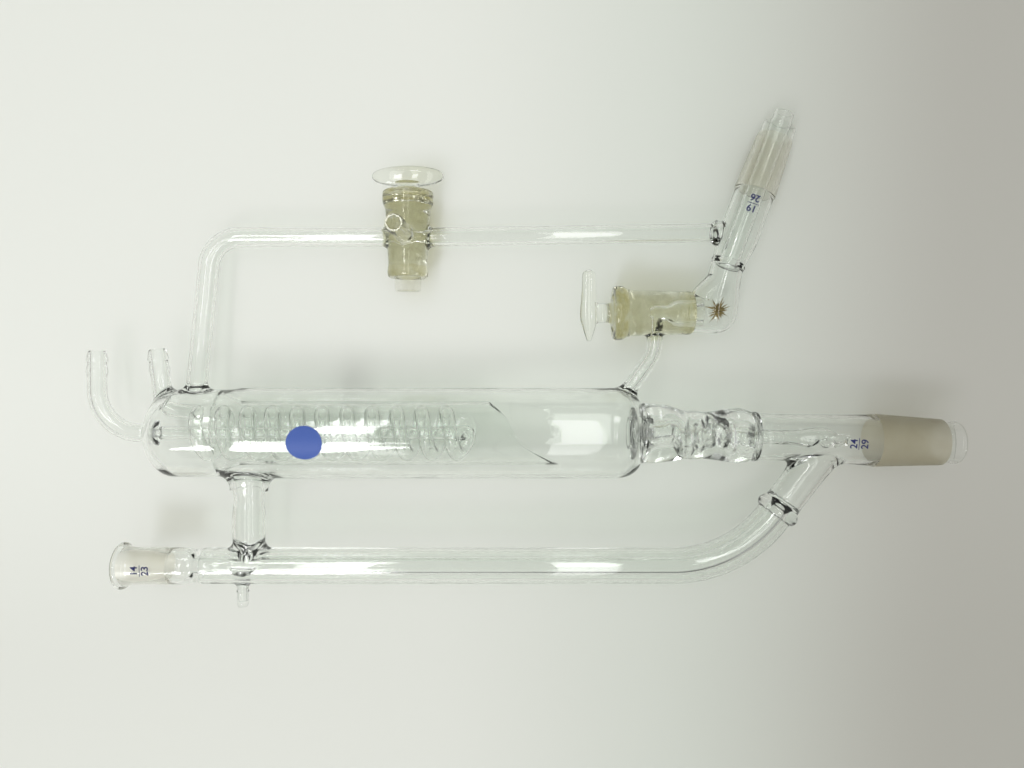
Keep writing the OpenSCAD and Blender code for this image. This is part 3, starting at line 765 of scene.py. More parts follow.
def cut_vapour_bores(body):
    bore_r = VAPOUR_R - TUBE_WALL
    ground_end = SOCKET_R - SOCKET_GROUND * GROUND_RATE
    socket = filled("socket bore", [(SOCKET_R + 1.6, -1), (SOCKET_R + 0.9, 0.2), (SOCKET_R + 0.1, 1)]
                    + straight((SOCKET_R, 1.6), (ground_end, SOCKET_GROUND), 8)
                    + flow([(6.6, SOCKET_GROUND + 1), (6.7, 27), (6.3, 30), (4.4, 33.4),
                            (bore_r - 0.1, 36)], 1), SOCKET_IN, 56)
    arm = filled("arm bore", [(bore_r - 0.1, 0.6)] + flow(
        [(4.2, 3), (6.3, 6), (6.5, 12), (6.5, 29), (7, 36)], 1.5) + [(7, 37)], ARM_UP, 44)
    cross = filled("cross bore", [(7, 17)] + flow(
        [(6.9, 20), (6, 24), (5.3, 28), (5.2, 31), (5.8, 35), (5.9, 46), (5.4, 49.5), (3.4, 52.6),
         (bore_r - 0.2, 54.5)], 1) + [(bore_r - 0.2, -VAPOUR_Y)], CROSS_DOWN, 40)
    cut(body, swept("vapour bore", vapour_path(1.5, -12), bore_r, 28), socket, arm, cross)


# ---------------- vent line and its stopcock

RISER = laid(RISER_FOOT, heading(RISER_FOOT, RISER_TURN))
VENT_TO_BARREL = laid(VENT_RIGHT, heading(VENT_RIGHT, VENT_CENTRE))
BARREL_DOWN = laid(VENT_FACE, -90)


def vent_tube(name, riser_r, line_r, sides):
    """The riser out of the dome and the line it bends into, drawn down to the line's size."""
    path = bent_path(RISER_FOOT, RISER_TURN, VENT_CENTRE, 14, 1.2)
    whole = run_lengths(path)[-1]
    bend = RISER_LEN / whole

    def radius(t):
        blend = min(1, max(0, (t - bend) * whole / 9))
        return riser_r + (line_r - riser_r) * blend
    return swept(name, path, radius, sides)


def add_vent_line(body):
    """The vent stopcock's barrel and arm, the riser from the dome, and the line to the receiver."""
    barrel = filled("vent barrel", [(VENT_COLLAR_R - 1, 0)] + flow(
        [(VENT_COLLAR_R - 0.5, 0.15), (VENT_COLLAR_R, 0.9), (VENT_COLLAR_R, 4.6),
         (VENT_COLLAR_R - 0.4, 6), (10.5, 7.6), (10.1, 10)], 0.6) + flow(
        [(9.8, 14), (9.5, 20)] + past(VENT_BARREL_LEN, (8.9, -6.5), (9.1, -4.2), (9.25, -2.4),
                                      (9, -0.8), (8.4, -0.1)), 1.4)
        + [(8, VENT_BARREL_LEN)], BARREL_DOWN, 64)
    right = swept("vent line", straight(VENT_CENTRE, VENT_RIGHT, 10), VENT_R, 32)
    arm = filled("vent arm", [(VENT_ARM_R, 0), (VENT_ARM_R, VENT_ARM_REACH - 0.6),
                              (VENT_ARM_R - 0.4, VENT_ARM_REACH)], VENT_ARM, 36)
    feet = [fillet(barrel, "line foot", laid(VENT_CENTRE, way), VENT_R, 2.2, 3.2, 30)
            for way in (180, 0)]
    arm_foot = fillet(barrel, "arm foot", VENT_ARM, VENT_ARM_R, 2.0, 2.6, 28)
    fuse(barrel, *feet, arm_foot, arm)
    riser_foot = fillet(body, "riser foot", RISER, RISER_R, 3.8, 4, 30)
    fuse(body, riser_foot, vent_tube("riser", RISER_R, VENT_R, 36), right, barrel)


def key_seat(name, barrel_len, matrix):
    """The tapered seat of a key, from before its barrel's collar to past its far end."""
    far = barrel_len + 2
    return filled(name, [(KEY_BORE_R + 0.5, -2), (KEY_BORE_R + 0.4, 0), (KEY_BORE_R - 0.02, 0.6)]
                  + straight((KEY_BORE_R - 0.05, 1), (KEY_BORE_R - far * GROUND_RATE, far), 8),
                  matrix, 60)


def cut_vent_bores(body):
    bore_r = VENT_R - TUBE_WALL
    arm_r = VENT_ARM_R - TUBE_WALL
    arm_bore = filled("arm bore", [(arm_r, 0)] + past(VENT_ARM_REACH, (arm_r, -0.4), (arm_r + 0.6, 1)),
                      VENT_ARM, 28)
    end = step(VENT_RIGHT, heading(VENT_CENTRE, VENT_RIGHT), -7)
    cut(body, vent_tube("riser bore", RISER_R - TUBE_WALL, bore_r, 28),
        swept("line bore", straight(VENT_CENTRE, end, 10), bore_r, 26), arm_bore,
        key_seat("vent key seat", VENT_BARREL_LEN, BARREL_DOWN))


# ---------------- take-off stopcock and receiver

TAKEOFF_ALONG = laid(TAKEOFF_FACE, 0)
TAKEOFF_UP = laid(TAKEOFF_ROOT, heading(TAKEOFF_ROOT, TAKEOFF_TURN))
TAKEOFF_DOWN = laid((TAKEOFF_TOP[0], TAKEOFF_FACE[1]), -90)
TO_RECEIVER = laid(BULB, heading(BULB, RECEIVER_SEAL))
RECEIVER = laid(RECEIVER_SEAL, RECEIVER_HEADING)
BULB_NECK = math.dist(BULB, RECEIVER_SEAL)
BULB_ALONG = BULB[0] - TAKEOFF_FACE[0]


def shoulder(name, radius):
    """What fills the inside of the turn from the barrel up to the receiver, straight and flared."""
    rise = math.dist(BULB_SHOULDER, SHOULDER_TOP)
    cap = arc((0, 0), (radius, radius), -90, 0, 10)
    return turned(name, cap + [(radius - 0.2, rise), (0, rise)],
                  laid(BULB_SHOULDER, heading(BULB_SHOULDER, SHOULDER_TOP)), 40)


def takeoff_tube(name, radius, sides):
    """What runs from the shell up into the take-off barrel: the tube, or its bore."""
    path = bent_path(TAKEOFF_ROOT, TAKEOFF_TURN, TAKEOFF_TOP, TAKEOFF_BEND, 1)
    return swept(name, path, radius, sides)


def add_takeoff(body):
    """The take-off stopcock's barrel and tube, the bulb behind it and the receiver cone."""
    barrel = filled("take-off barrel", [(TAKEOFF_COLLAR_R - 1, 0)] + flow(
        [(TAKEOFF_COLLAR_R - 0.4, 0.2), (TAKEOFF_COLLAR_R, 1), (TAKEOFF_COLLAR_R, 3.8),
         (TAKEOFF_COLLAR_R - 0.7, 5.3), (10.9, 6.6), (10.4, 9)], 0.6) + flow(
        [(10.2, 14), (10, 24)] + past(TAKEOFF_BARREL_LEN, (9.7, -3.5), (9.9, -1.5), (9.7, 0),
                                      (9.1, 1)), 1.4), TAKEOFF_ALONG, 64)
    tube = takeoff_tube("take-off tube", TAKEOFF_R, 32)
    shell_foot = fillet(body, "take-off root", TAKEOFF_UP, TAKEOFF_R, 2.8, 4.5, 22)
    barrel_foot = fillet(barrel, "take-off foot", TAKEOFF_DOWN, TAKEOFF_R, 1.3, 1.8, 24)
    bulb = turned("bulb", flow([(0.001, -BULB_R), (4, -8.75), (7.6, -5.9), (9.3, -2.2), (9.5, 1),
                                (9.1, 5), (8.2, 10), (7.5, 15), (7.2, BULB_NECK)], 1)
                  + [(0, BULB_NECK)], TO_RECEIVER, 48)
    sleeve = filled("bulb sleeve", flow(past(TAKEOFF_BARREL_LEN, (8.8, -4), (8.9, 2), (9, 6))
                                        + [(9.3, BULB_ALONG)], 1), TAKEOFF_ALONG, 48)
    ground_end = RECEIVER_R - RECEIVER_GROUND * GROUND_RATE
    receiver = filled("receiver", [(7, -1.5)] + flow(
        [(7.6, -0.9), (7.9, 0), (7.6, 1.1), (8, 4.5), (9, 12), (9.1, 18), (8.9, 24),
         (8.9, RECEIVER_STEP - 1.6)], 1.2) + past(RECEIVER_STEP, (9.1, -0.3), (RECEIVER_R, 0))
        + straight((RECEIVER_R, RECEIVER_STEP + 0.3), (ground_end, RECEIVER_END - 0.3), 7)
        + [(7.8, RECEIVER_END + 0.6), (7.6, RECEIVER_TIP - 0.5), (7.3, RECEIVER_TIP)], RECEIVER, 52)
    line_end = filled("vent line end", [(5, 2)] + flow(
        [(6, 5), (5.2, 8), (5.3, 9.4), (5.7, 10.6), (5.3, 11.8), (4.1, 13)], 0.6),
        VENT_TO_BARREL, 36)
    fuse(barrel, barrel_foot, sleeve, bulb, shoulder("bulb shoulder", BULB_SHOULDER_R), receiver,
         line_end, tube)
    fuse(body, shell_foot, barrel)


def cut_receiver_space(body):
    bulb = turned("bulb space", flow([(0.001, 1.3 - BULB_R), (3.6, -7.5), (6.5, -5), (8, -1.8),
                                      (8.1, 1.5), (7.7, 5), (6.6, 11), (5.8, 16),
                                      (5.5, BULB_NECK - 1.2)], 1) + [(0, BULB_NECK - 1.2)],
                  TO_RECEIVER, 44)
    sleeve = filled("sleeve space", past(TAKEOFF_BARREL_LEN, (7.4, 0.5), (7.5, 5))
                    + [(7.7, BULB_ALONG)], TAKEOFF_ALONG, 44)
    fuse(bulb, sleeve, shoulder("shoulder space", BULB_SHOULDER_R - 1.3))
    barrel = filled("receiver space", [(5.9, 1.6)] + flow(
        [(6.3, 3), (6.9, 6), (7.6, 12), (7.6, 18), (7.4, 24), (7.4, RECEIVER_STEP - 3)], 2)
        + [(7.4, RECEIVER_STEP - 1), (6.3, RECEIVER_END - 1), (6.1, RECEIVER_TIP + 1)], RECEIVER, 44)
    cut(body, bulb, barrel)


def cut_takeoff_bores(body):
    cut(body, takeoff_tube("take-off bore", TAKEOFF_BORE, 24),
        rod("drip bore", RECEIVER_DRIP_R - WEB, -4, RECEIVER_REACH + 1, RECEIVER, 36),
        key_seat("take-off key seat", TAKEOFF_BARREL_LEN, TAKEOFF_ALONG))


# ---------------- water connectors

BARBS = [(0, -0.7), (0.5, -0.3), (2.2, 0), (4.2, BARB_RISE), (5, 0.1), (5.6, -0.2), (7.6, 0.15),
         (9.6, BARB_RISE), (10.6, 0.1), (11.6, 0)]  # (distance from the open end, rise)
AXIAL_OUT = laid((0, 0), 180)
SIDE_OUT = laid(SIDE_ROOT, SIDE_HEADING)


def hose_tube(name, path):
    """A hose connector in one piece, with two barbs before its open end."""
    points = []
    for a, b in zip(path, path[1:]):
        points += straight(a, b, 0.8)[:-1]
    points.append(path[-1])
    whole = sum(math.dist(a, b) for a, b in zip(points, points[1:]))

    def radius(t):
        left = (1 - t) * whole
        for (near, low), (far, high) in zip(BARBS, BARBS[1:]):
            if left <= far:
                return HOSE_R + low + (high - low) * (left - near) / (far - near)
        return HOSE_R
    return swept(name, points, radius, 36)


def axial_path(start, more):
    """The way out of the dome and up to the open end, from start along the axis."""
    return bent_path((start - DOME_LEN, 0), HOSE_TURN, (HOSE_TURN[0], HOSE_TOP + more), HOSE_BEND, 1.2)


def add_hose_connectors(body):
    axial_foot = fillet(body, "axial foot", AXIAL_OUT, HOSE_R, 3.2, 3.4, 60)
    side_foot = fillet(body, "side foot", SIDE_OUT, HOSE_R, 2.8, 3.6, 24)
    axial = hose_tube("axial connector", axial_path(3, 0))
    side = hose_tube("side connector", straight(SIDE_ROOT, step(SIDE_ROOT, SIDE_HEADING, SIDE_LEN)))
    fuse(body, axial_foot, side_foot, axial, side)


def cut_hose_bores(body):
    side_way = straight(*(step(SIDE_ROOT, SIDE_HEADING, d) for d in (5.6, SIDE_LEN + 1)))
    cut(body, swept("axial bore", axial_path(0.8, 1), HOSE_BORE_R, 28),
        swept("side bore", side_way, HOSE_BORE_R, 28))


# ---------------- the whole body


def blow_body():
    """The head is blown from the outside in: walls first, then hollows, inner tubes and bores."""
    body = blown_condenser()
    fuse(body, lower_part())
    add_vapour_tube(body)
    add_vent_line(body)
    add_takeoff(body)
    add_hose_connectors(body)
    cut(body, condenser_cavity(), chamber_cavity(), neck_cavity())
    cut_jacket_space(body)
    cut_receiver_space(body)
    fuse(body, inner_tube())
    water = water_tube("water tube", 6, 1 - DOME_LEN, COIL_TUBE_R, RETURN_R, 22)
    fuse(water, bell())
    fuse(body, water)
    fuse(body, seal_tube("seal", TRAP_R, 7.5, DRIP_BULB_R, 2.4, 0))
    add_vapour_inner(body)
    fuse(body, rod("receiver drip", RECEIVER_DRIP_R, -1, RECEIVER_REACH, RECEIVER, 36))
    cut(body, seal_tube("seal way", TRAP_R - WEB, 6.2, DRIP_BULB_R - WEB, 1.4, 1))
    cut_vapour_bores(body)
    cut_vent_bores(body)
    cut_takeoff_bores(body)
    cut_hose_bores(body)
    cut(body, water_tube("water way", 7, -DOME_LEN - 1, COIL_BORE_R, RETURN_R - 0.9, 16))
    return body


# ---------------- stopcock keys

ELLIPSE = [(math.sin(math.pi * i / 24) ** 0.85, -math.cos(math.pi * i / 24))
           for i in range(25)]
DROP = flow([(0, -1), (0.22, -0.985), (0.32, -0.92), (0.54, -0.75), (0.74, -0.58), (0.96, -0.4),
             (1, -0.25), (0.96, -0.05), (0.88, 0.14), (0.8, 0.42), (0.76, 0.83), (0.54, 0.94),
             (0, 1)], 0.05)


def pressed_handle(name, matrix, outline, width):
    """A handle pressed flat between two dies; the outline is (share of width, share of length)."""
    sides = 36
    half, wide, thick = HANDLE_LEN / 2, width / 2, HANDLE_T / 2
    grid = []
    for share, u in outline:
        if share < 0.02:
            grid.append([(half * u, 0, 0)])
            continue
        deep = thick * (0.3 + 0.7 * share) * share ** 0.4
        ring = []
        for k in range(sides):
            a = 2 * math.pi * k / sides
            c, s = math.cos(a), math.sin(a)
            ring.append((half * u, wide * share * math.copysign(abs(c) ** 0.86, c),
                         deep * math.copysign(abs(s) ** 0.7, s)))
        grid.append(ring)
    return as_object(name, grid, matrix=matrix)


def blown_key(name, matrix, plug_len, stem_len, stem_r, off_centre, outline, width):
    """Plug, shoulder, stem and handle; the key runs along +Z from its collar's face."""
    plug_r = KEY_BORE_R - KEY_CLEARANCE
    end_r = plug_r - plug_len * GROUND_RATE
    root = -stem_len - 1.6
    waist = root / 2
    neck = flow([(stem_r + 1.3, root), (stem_r + 0.5, root + 0.9), (stem_r, waist),
                 (stem_r + 0.4, -1.3), (stem_r + 1.3, -0.7), (plug_r - 1.6, -0.4),
                 (plug_r - 0.5, -0.2), (plug_r - 0.1, 0)], 0.4)
    plug = [*neck, *straight((plug_r - 0.02, 0.2), (end_r, plug_len - 0.6), 4),
            *past(plug_len, (end_r - 0.3, -0.15), (end_r - 0.8, 0))]
    key = filled(name, plug, matrix, 60)
    seat = (matrix @ Matrix.Translation((off_centre, 0, -stem_len - width / 2))
            @ rotated(90, "X"))
    fuse(key, pressed_handle(f"{name} handle", seat, outline, width))
    return key


def blown_keys():
    """The vent key, bored across with a branch up the arm, and the hollow take-off key."""
    quarter = rotated(90, "Z")
    vent = blown_key("vent key", BARREL_DOWN @ quarter, VENT_KEY_LEN, stem_len=2.4, stem_r=4.8,
                     off_centre=0, outline=ELLIPSE, width=VENT_HANDLE_W)
    clear = 12              # past the plug on either side
    way = rod("key way", KEY_WAY_R, -clear, clear, laid(VENT_CENTRE, 0), 28)
    fuse(way, rod("key way up", KEY_WAY_R, 0, clear, VENT_ARM, 28))
    cut(vent, way)
    takeoff = blown_key("take-off key", TAKEOFF_ALONG @ quarter, TAKEOFF_KEY_LEN, stem_len=6.8,
                        stem_r=4.3, off_centre=3.5, outline=DROP, width=TAKEOFF_HANDLE_W)
    hollow = filled("key hollow", [(KEY_HOLLOW_R, -1), (4.7, 0)] + flow(
        [(4.5, 3), (4.2, 12), (3.2, 15), (2.4, 17), (2.4, 22), (1.4, 24.4)], 1),
        laid(step(TAKEOFF_FACE, 0, TAKEOFF_KEY_LEN), 180), 40)
    fuse(hollow, rod("key hole", 1.8, 0, 10, TAKEOFF_DOWN, 24))
    cut(takeoff, hollow)
    return vent, takeoff


# ---------------- finishes


class Field:
    """A shader socket that can be reckoned with like a number."""

    def __init__(self, finish, socket):
        self.finish, self.socket = finish, socket

    def math(self, operation, *values):
        return self.finish.node("ShaderNodeMath", values, operation=operation)

    def __add__(self, other):
        return self.math("ADD", self, other)

    __radd__ = __add__

    def __sub__(self, other):
        return self.math("SUBTRACT", self, other)

    def __rsub__(self, other):
        return self.math("SUBTRACT", other, self)

    def __mul__(self, other):
        return self.math("MULTIPLY", self, other)

    __rmul__ = __mul__

    def __pow__(self, other):
        return self.math("POWER", self, other)

    def within(self, low, high, soft=0.8):
        """1 from low to high, with soft edges."""
        return self.over(low - soft, low) * self.over(high + soft, high)

    def over(self, low, high):
        """0 below low, 1 above high and a smooth rise between them; high may be the lesser."""
        start, end = (0, 1) if low < high else (1, 0)
        return self.finish.node(
            "ShaderNodeMapRange", {"Value": self, "From Min": min(low, high),
                                   "From Max": max(low, high), "To Min": start, "To Max": end},
            interpolation_type="SMOOTHSTEP")


class Finish:
    """A material, or the room's light, that is built up from nodes."""

    def __init__(self, name, room=False):
        self.material = (bpy.data.worlds if room else bpy.data.materials).new(name)
        self.output = "ShaderNodeOutputWorld" if room else "ShaderNodeOutputMaterial"
        self.material.use_nodes = True
        self.tree = self.material.node_tree
        self.tree.nodes.clear()
        self.places = None

    def node(self, kind, values=(), output=0, **settings):
        """Any node: its inputs by name or in order, its settings, and the socket it gives."""
        made = self.tree.nodes.new(kind)
        for key, value in settings.items():
            setattr(made, key, value)
        pairs = values.items() if isinstance(values, dict) else enumerate(values)
        for key, value in pairs:
            if isinstance(value, Field):
                self.tree.links.new(value.socket, made.inputs[key])
            elif value is not None:
                made.inputs[key].default_value = value
        return Field(self, made.outputs[output])

    def drawing(self):
        """The place on the piece in the drawing's own millimetres, as three numbers."""
        if self.places is None:
            _, turn, _ = AT_REST.decompose()
            back = AT_REST.inverted()
            here = self.node("ShaderNodeTexCoord", output="Object")
            self.place = self.node("ShaderNodeMapping", {
                "Vector": here, "Location": back.to_translation(),
                "Rotation": turn.inverted().to_euler(), "Scale": (1 / MM,) * 3})
            self.places = [self.node("ShaderNodeSeparateXYZ", [self.place], output=i)
                           for i in range(3)]
        return self.places

    def surface(self, shade, roughness, **more):
        """The plain surface shader; what else it is given is named with _ for each space."""
        values = {key.replace("_", " "): value for key, value in more.items()}
        return self.node("ShaderNodeBsdfPrincipled", {
            "Base Color": colour(shade), "Roughness": roughness, **values})

    def grain(self, size, detail, roughness=0.55):
        """Mottling with patches about size millimetres across, from 0 to 1."""
        self.drawing()
        return self.node("ShaderNodeTexNoise", {"Vector": self.place, "Scale": 1 / size,
                                                "Detail": detail, "Roughness": roughness})

    def blend(self, share, low, high):
        """A colour or a shader that runs from low to high as share runs from 0 to 1."""
        if isinstance(low, Field) and low.socket.type == "SHADER":
            return self.node("ShaderNodeMixShader", [share, low, high])
        return self.node("ShaderNodeMix", {0: share, 6: colour(low), 7: colour(high)}, 2,
                         data_type="RGBA")

    def done(self, shader):
        out = self.tree.nodes.new(self.output)
        self.tree.links.new(shader.socket, out.inputs["Surface"])
        return self.material


def colour(value):
    """A colour for a socket; three plain numbers are sRGB values from 0 to 255."""
    if isinstance(value, Field) or len(value) == 4:
        return value
    return (*((c / 255) ** 2.2 for c in value), 1)


GLASS_IOR = 1.474
EDGE_SHADE = 0.42           # how much of a lamp's light a wall stops where the light grazes it
CLEAR_SHADE = (253, 254, 253)
FROST = (0.93, 0.92, 0.88, 1)


def lets_lamps_through(f, glass, clear):
    """Finishes a glass so that lamps and the bench's own light pass through all but its edges."""
    path = (f.node("ShaderNodeLightPath", output="Is Shadow Ray")
            + f.node("ShaderNodeLightPath", output="Is Diffuse Ray"))
    facing = f.node("ShaderNodeLayerWeight", {"Blend": 0.42}, output="Facing")
    passed = f.node("ShaderNodeBsdfTransparent", {"Color": colour(clear)})
    return f.done(f.blend(path * (1 - facing ** 2 * EDGE_SHADE), glass, passed))


def waved_glass(f, tint, depth=0.06, size=11, detail=1):
    """Clear glass with the faint waves that flame work leaves in it."""
    waves = f.node("ShaderNodeBump", {"Strength": depth, "Distance": 0.001,
                                      "Height": f.grain(size, detail, 0.4)})
    return f.surface(tint, 0.0, IOR=GLASS_IOR, Transmission_Weight=1.0, Normal=waves)


def clear_glass(name, tint, **waves):
    f = Finish(name)
    return lets_lamps_through(f, waved_glass(f, tint, **waves), CLEAR_SHADE)


def barrel_glass():
    """Clear glass that old grease has turned amber at the collars and at the far rims."""
    f = Finish("barrel glass")
    amber = None
    for (face, angle, length), collar, rim in zip(BARRELS, (5.5, 5), (5, 3.5)):
        along, off = reckoned(*f.drawing(), face, angle)
        ends = along.within(-1, collar) + along.within(length - rim, length + 1) * 0.6
        ends = ends * off.over(BARREL_REACH + 1, BARREL_REACH)
        amber = amber + ends if amber else ends
    patches = amber * f.grain(4, 3).over(0.3, 0.6)
    tint = f.blend(patches, (248, 249, 240), (224, 217, 170))
    return lets_lamps_through(f, waved_glass(f, tint, depth=0.22, size=4, detail=3),
                              (233, 232, 221))


def ground_glass(name, tint, dirt, haze_share, frost_roughness):
    """Frosted glass: rough, and hazed over with some dirt; only the haze hides what is behind."""
    f = Finish(name)
    patches = f.grain(9, 2).over(0.2, 0.8)
    skin = f.blend(patches, tint, dirt)
    frost = f.surface(FROST, frost_roughness, IOR=GLASS_IOR, Transmission_Weight=1.0)
    haze = f.surface(skin, 0.6)
    mixed = f.blend(patches * 0.06 + haze_share, frost, haze)
    return lets_lamps_through(f, mixed, (222, 220, 212))


def greased(name, blotch=None):
    """A greased ground fit: the grease hides both ground faces and leaves a thin olive veil."""
    f = Finish(name)
    patches = f.grain(5, 4).over(0.3, 0.7)
    skin, veil = f.blend(patches, (212, 211, 184), (190, 187, 150)), patches * 0.08 + 0.045
    if blotch:
        x, y, z = f.drawing()
        dx, dy = x - blotch[0], y - blotch[1]
        away = (dx * dx * 1.6 + dy * dy * 0.35) ** 0.5
        dark = away.over(2.6, 1.6) * f.grain(1.3, 4).over(0.42, 0.5) * z.over(0, 1)
        skin = f.blend(dark, skin, (34, 34, 28))
        veil = veil + dark * 0.85
    veiled = f.surface(skin, 0.5, Specular_IOR_Level=0.0, Alpha=veil)
    return lets_lamps_through(f, veiled, (242, 241, 231))


GLASS = clear_glass("clear glass", (254, 255, 254))
BARREL = barrel_glass()
PUCKERED = clear_glass("seal glass", (254, 255, 254), depth=0.6, size=2.4, detail=3)
GROUND_CONE = ground_glass("ground cone", (158, 151, 126), (154, 145, 119), 0.5, 0.42)
GROUND_RECEIVER = ground_glass("ground receiver", (226, 221, 202), (208, 200, 172), 0.12, 0.16)
GROUND_SOCKET = ground_glass("ground socket", (244, 241, 228), (232, 227, 208), 0.3, 0.3)
SEAT = greased("greased seat", (196.4, 48.2))
KEY_SEAT = greased("greased key")


def plain(name, shade, roughness):
    f = Finish(name)
    return f.done(f.surface(shade, roughness))


# ---------------- pieces in place


def finished(piece, body, node, materials, chosen):
    """Puts a piece on the bench, gives each face its finish and hands it to its CAD body."""
    mesh = piece.data
    mesh.materials.clear()
    for material in materials:
        mesh.materials.append(material)
    for face in mesh.polygons:
        face.material_index = materials.index(chosen(face.center))
    mesh.transform(AT_REST)
    weld_up(mesh, 2e-6)
    mesh.shade_smooth()
    mesh.set_sharp_from_angle(angle=math.radians(34))
    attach(piece, body)
    if node:
        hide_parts(node)


def ground_zone(along, off, start, end, radius):
    """Whether a face is on the outside of a ground cone; its radius is the one at its start."""
    return (start - 0.1 < along < end
            and off > radius - (along - start) * GROUND_RATE - GROUND_SKIN)


def body_finish(p):
    """The glass that a face of the body is made of."""
    along, off = reckoned(*p, (SHELL_LEN, 0), -FOOT_TILT)
    if ground_zone(along, off, CONE_START, CONE_END + 0.4, CONE_R):
        return GROUND_CONE
    if 4 < along < TRAP_END + 12 and off < WAIST_R - FOOT_WALL - 1.5:
        return PUCKERED
    along, off = reckoned(*p, RECEIVER_SEAL, RECEIVER_HEADING)
    if ground_zone(along, off, RECEIVER_STEP, RECEIVER_END + PAST_FIT, RECEIVER_R):
        return GROUND_RECEIVER
    along, off = reckoned(*p, (SOCKET_MOUTH, VAPOUR_Y), 0)
    if 0.8 < along < SOCKET_GROUND + PAST_FIT and off < SOCKET_R + 0.1:
        return GROUND_SOCKET
    for face, angle, length in BARRELS:
        along, off = reckoned(*p, face, angle)
        if -0.5 < along < length + 1.5:
            if 5 < off < KEY_BORE_R + PAST_FIT - max(0, along) * GROUND_RATE:
                return SEAT
            if off < BARREL_REACH:
                return BARREL
    return GLASS


body = blow_body()
finished(body, "head", "glass_body",
         [GLASS, BARREL, GROUND_CONE, GROUND_RECEIVER, GROUND_SOCKET, SEAT, PUCKERED], body_finish)
body.name = "blown_glass"


def key_finish(face, angle):
    """The plug of a key is greased; its stem, its handle and its hollow are clear."""
    def chosen(p):
        along, off = reckoned(*p, face, angle)
        return KEY_SEAT if along > -0.4 and off > KEY_HOLLOW_R else KEY_GLASS
    return chosen


KEY_GLASS = clear_glass("key glass", (254, 255, 251))
for key, node, (face, angle, _) in zip(blown_keys(), ("vent_key", "takeoff_key"), BARRELS):
    finished(key, node, node, [KEY_GLASS, KEY_SEAT], key_finish(face, angle))
    key.name = node.replace("_", "_stopcock_")

# ---------------- print and crystals


def wrapped(name, flat, ink, tube, radius, along, across, turn):
    """Lays a flat mesh on a tube's upper side; turn is how far its reading is from the heading."""
    c, s = math.cos(math.radians(turn)), math.sin(math.radians(turn))
    for spot in flat.vertices:
        x, y, _ = spot.co
        swing = (across + x * s + y * c) / radius
        spot.co = (-radius * math.cos(swing), radius * math.sin(swing), along + x * c - y * s)
    flat.transform(tube)
    finished(placed(name, flat), "head", None, [ink], lambda p: ink)


def size_mark(upper, lower):
    """A joint's size: two numbers with a rule between them, as a flat mesh about its centre."""
    lettering = bpy.data.curves.new("size", "FONT")
    lettering.body = f"{upper}\n{lower}"
    lettering.align_x, lettering.align_y = "CENTER", "CENTER"
    lettering.size, lettering.space_line, lettering.offset = 4.4, 1.1, 0.09
    holder = placed("size", lettering)
    flat = evaluated(holder)
    bpy.data.objects.remove(holder)
    shape = bmesh.new()
    shape.from_mesh(flat)
    middle = (min(v.co.y for v in shape.verts) + max(v.co.y for v in shape.verts)) / 2
    for spot in shape.verts:
        spot.co.y -= middle
    half, thick = 2.6, 0.16
    shape.faces.new([shape.verts.new((x, y, 0)) for x, y in
                     ((-half, -thick), (half, -thick), (half, thick), (-half, thick))])
    shape.to_mesh(flat)
    shape.free()
    return flat


def blue_disc(wide, high):
    """A plain oval disc, as a flat mesh in rings that can be bent round a tube."""
    shape = bmesh.new()
    sides = 60
    rings = [[shape.verts.new((*p, 0)) for p in
              arc((0, 0), (wide / 2 * t, high / 2 * t), 0, 354, sides - 1)]
             for t in (1, 0.8, 0.6, 0.4, 0.2)]
    for outer, inner in zip(rings, rings[1:]):
        for i in range(sides):
            k = (i + 1) % sides
            shape.faces.new((outer[i], outer[k], inner[k], inner[i]))
    shape.faces.new(rings[-1])
    return as_mesh("disc", shape)


def needle_tree():
    """Geometry Nodes that grow a needle of random length out of each corner of a seed crystal."""
    tree, join, given, made = nodes_tree("needles", (
        ("Seed crystal", "Geometry", None), ("Longest", "Float", 4.4), ("Finish", "Material", None)),
        "Star")
    needle, place, way, outward, length, size = map(tree.nodes.new, (
        "GeometryNodeMeshCone", "GeometryNodeInstanceOnPoints", "FunctionNodeAlignRotationToVector",
        "GeometryNodeInputNormal", "FunctionNodeRandomValue", "ShaderNodeCombineXYZ"))
    for node, values in ((needle, {"Vertices": 5, "Radius Bottom": 0.62, "Depth": 1}),
                         (length, {"Min": 2.6, "Seed": 7}), (size, {"X": 1, "Y": 1})):
        for label, value in values.items():
            node.inputs[label].default_value = value
    join(given, "Seed crystal", place, "Points")
    join(needle, "Mesh", place, "Instance")
    join(outward, "Normal", way, "Vector")
    join(way, "Rotation", place, "Rotation")
    join(given, "Longest", length, 3)
    join(length, 1, size, "Z")
    join(size, "Vector", place, "Scale")
    tree_end(tree, join, given, place, "Instances", made, "Star")
    return tree


def crystal_star(centre):
    """The brown crystals that dried in the bulb under the receiver."""
    seed = bmesh.new()
    bmesh.ops.create_icosphere(seed, subdivisions=2, radius=0.6)
    source = placed("seed", as_mesh("seed", seed))
    growth = source.modifiers.new("needles", "NODES")
    growth.node_group = needle_tree()
    set_inputs(growth, Longest=6.6)
    star = grown(source, "crystals")
    star.data.transform(Matrix.Translation(centre))
    brown = plain("brown crystals", (122, 104, 40), 0.6)
    finished(star, "head", None, [brown], lambda p: brown)


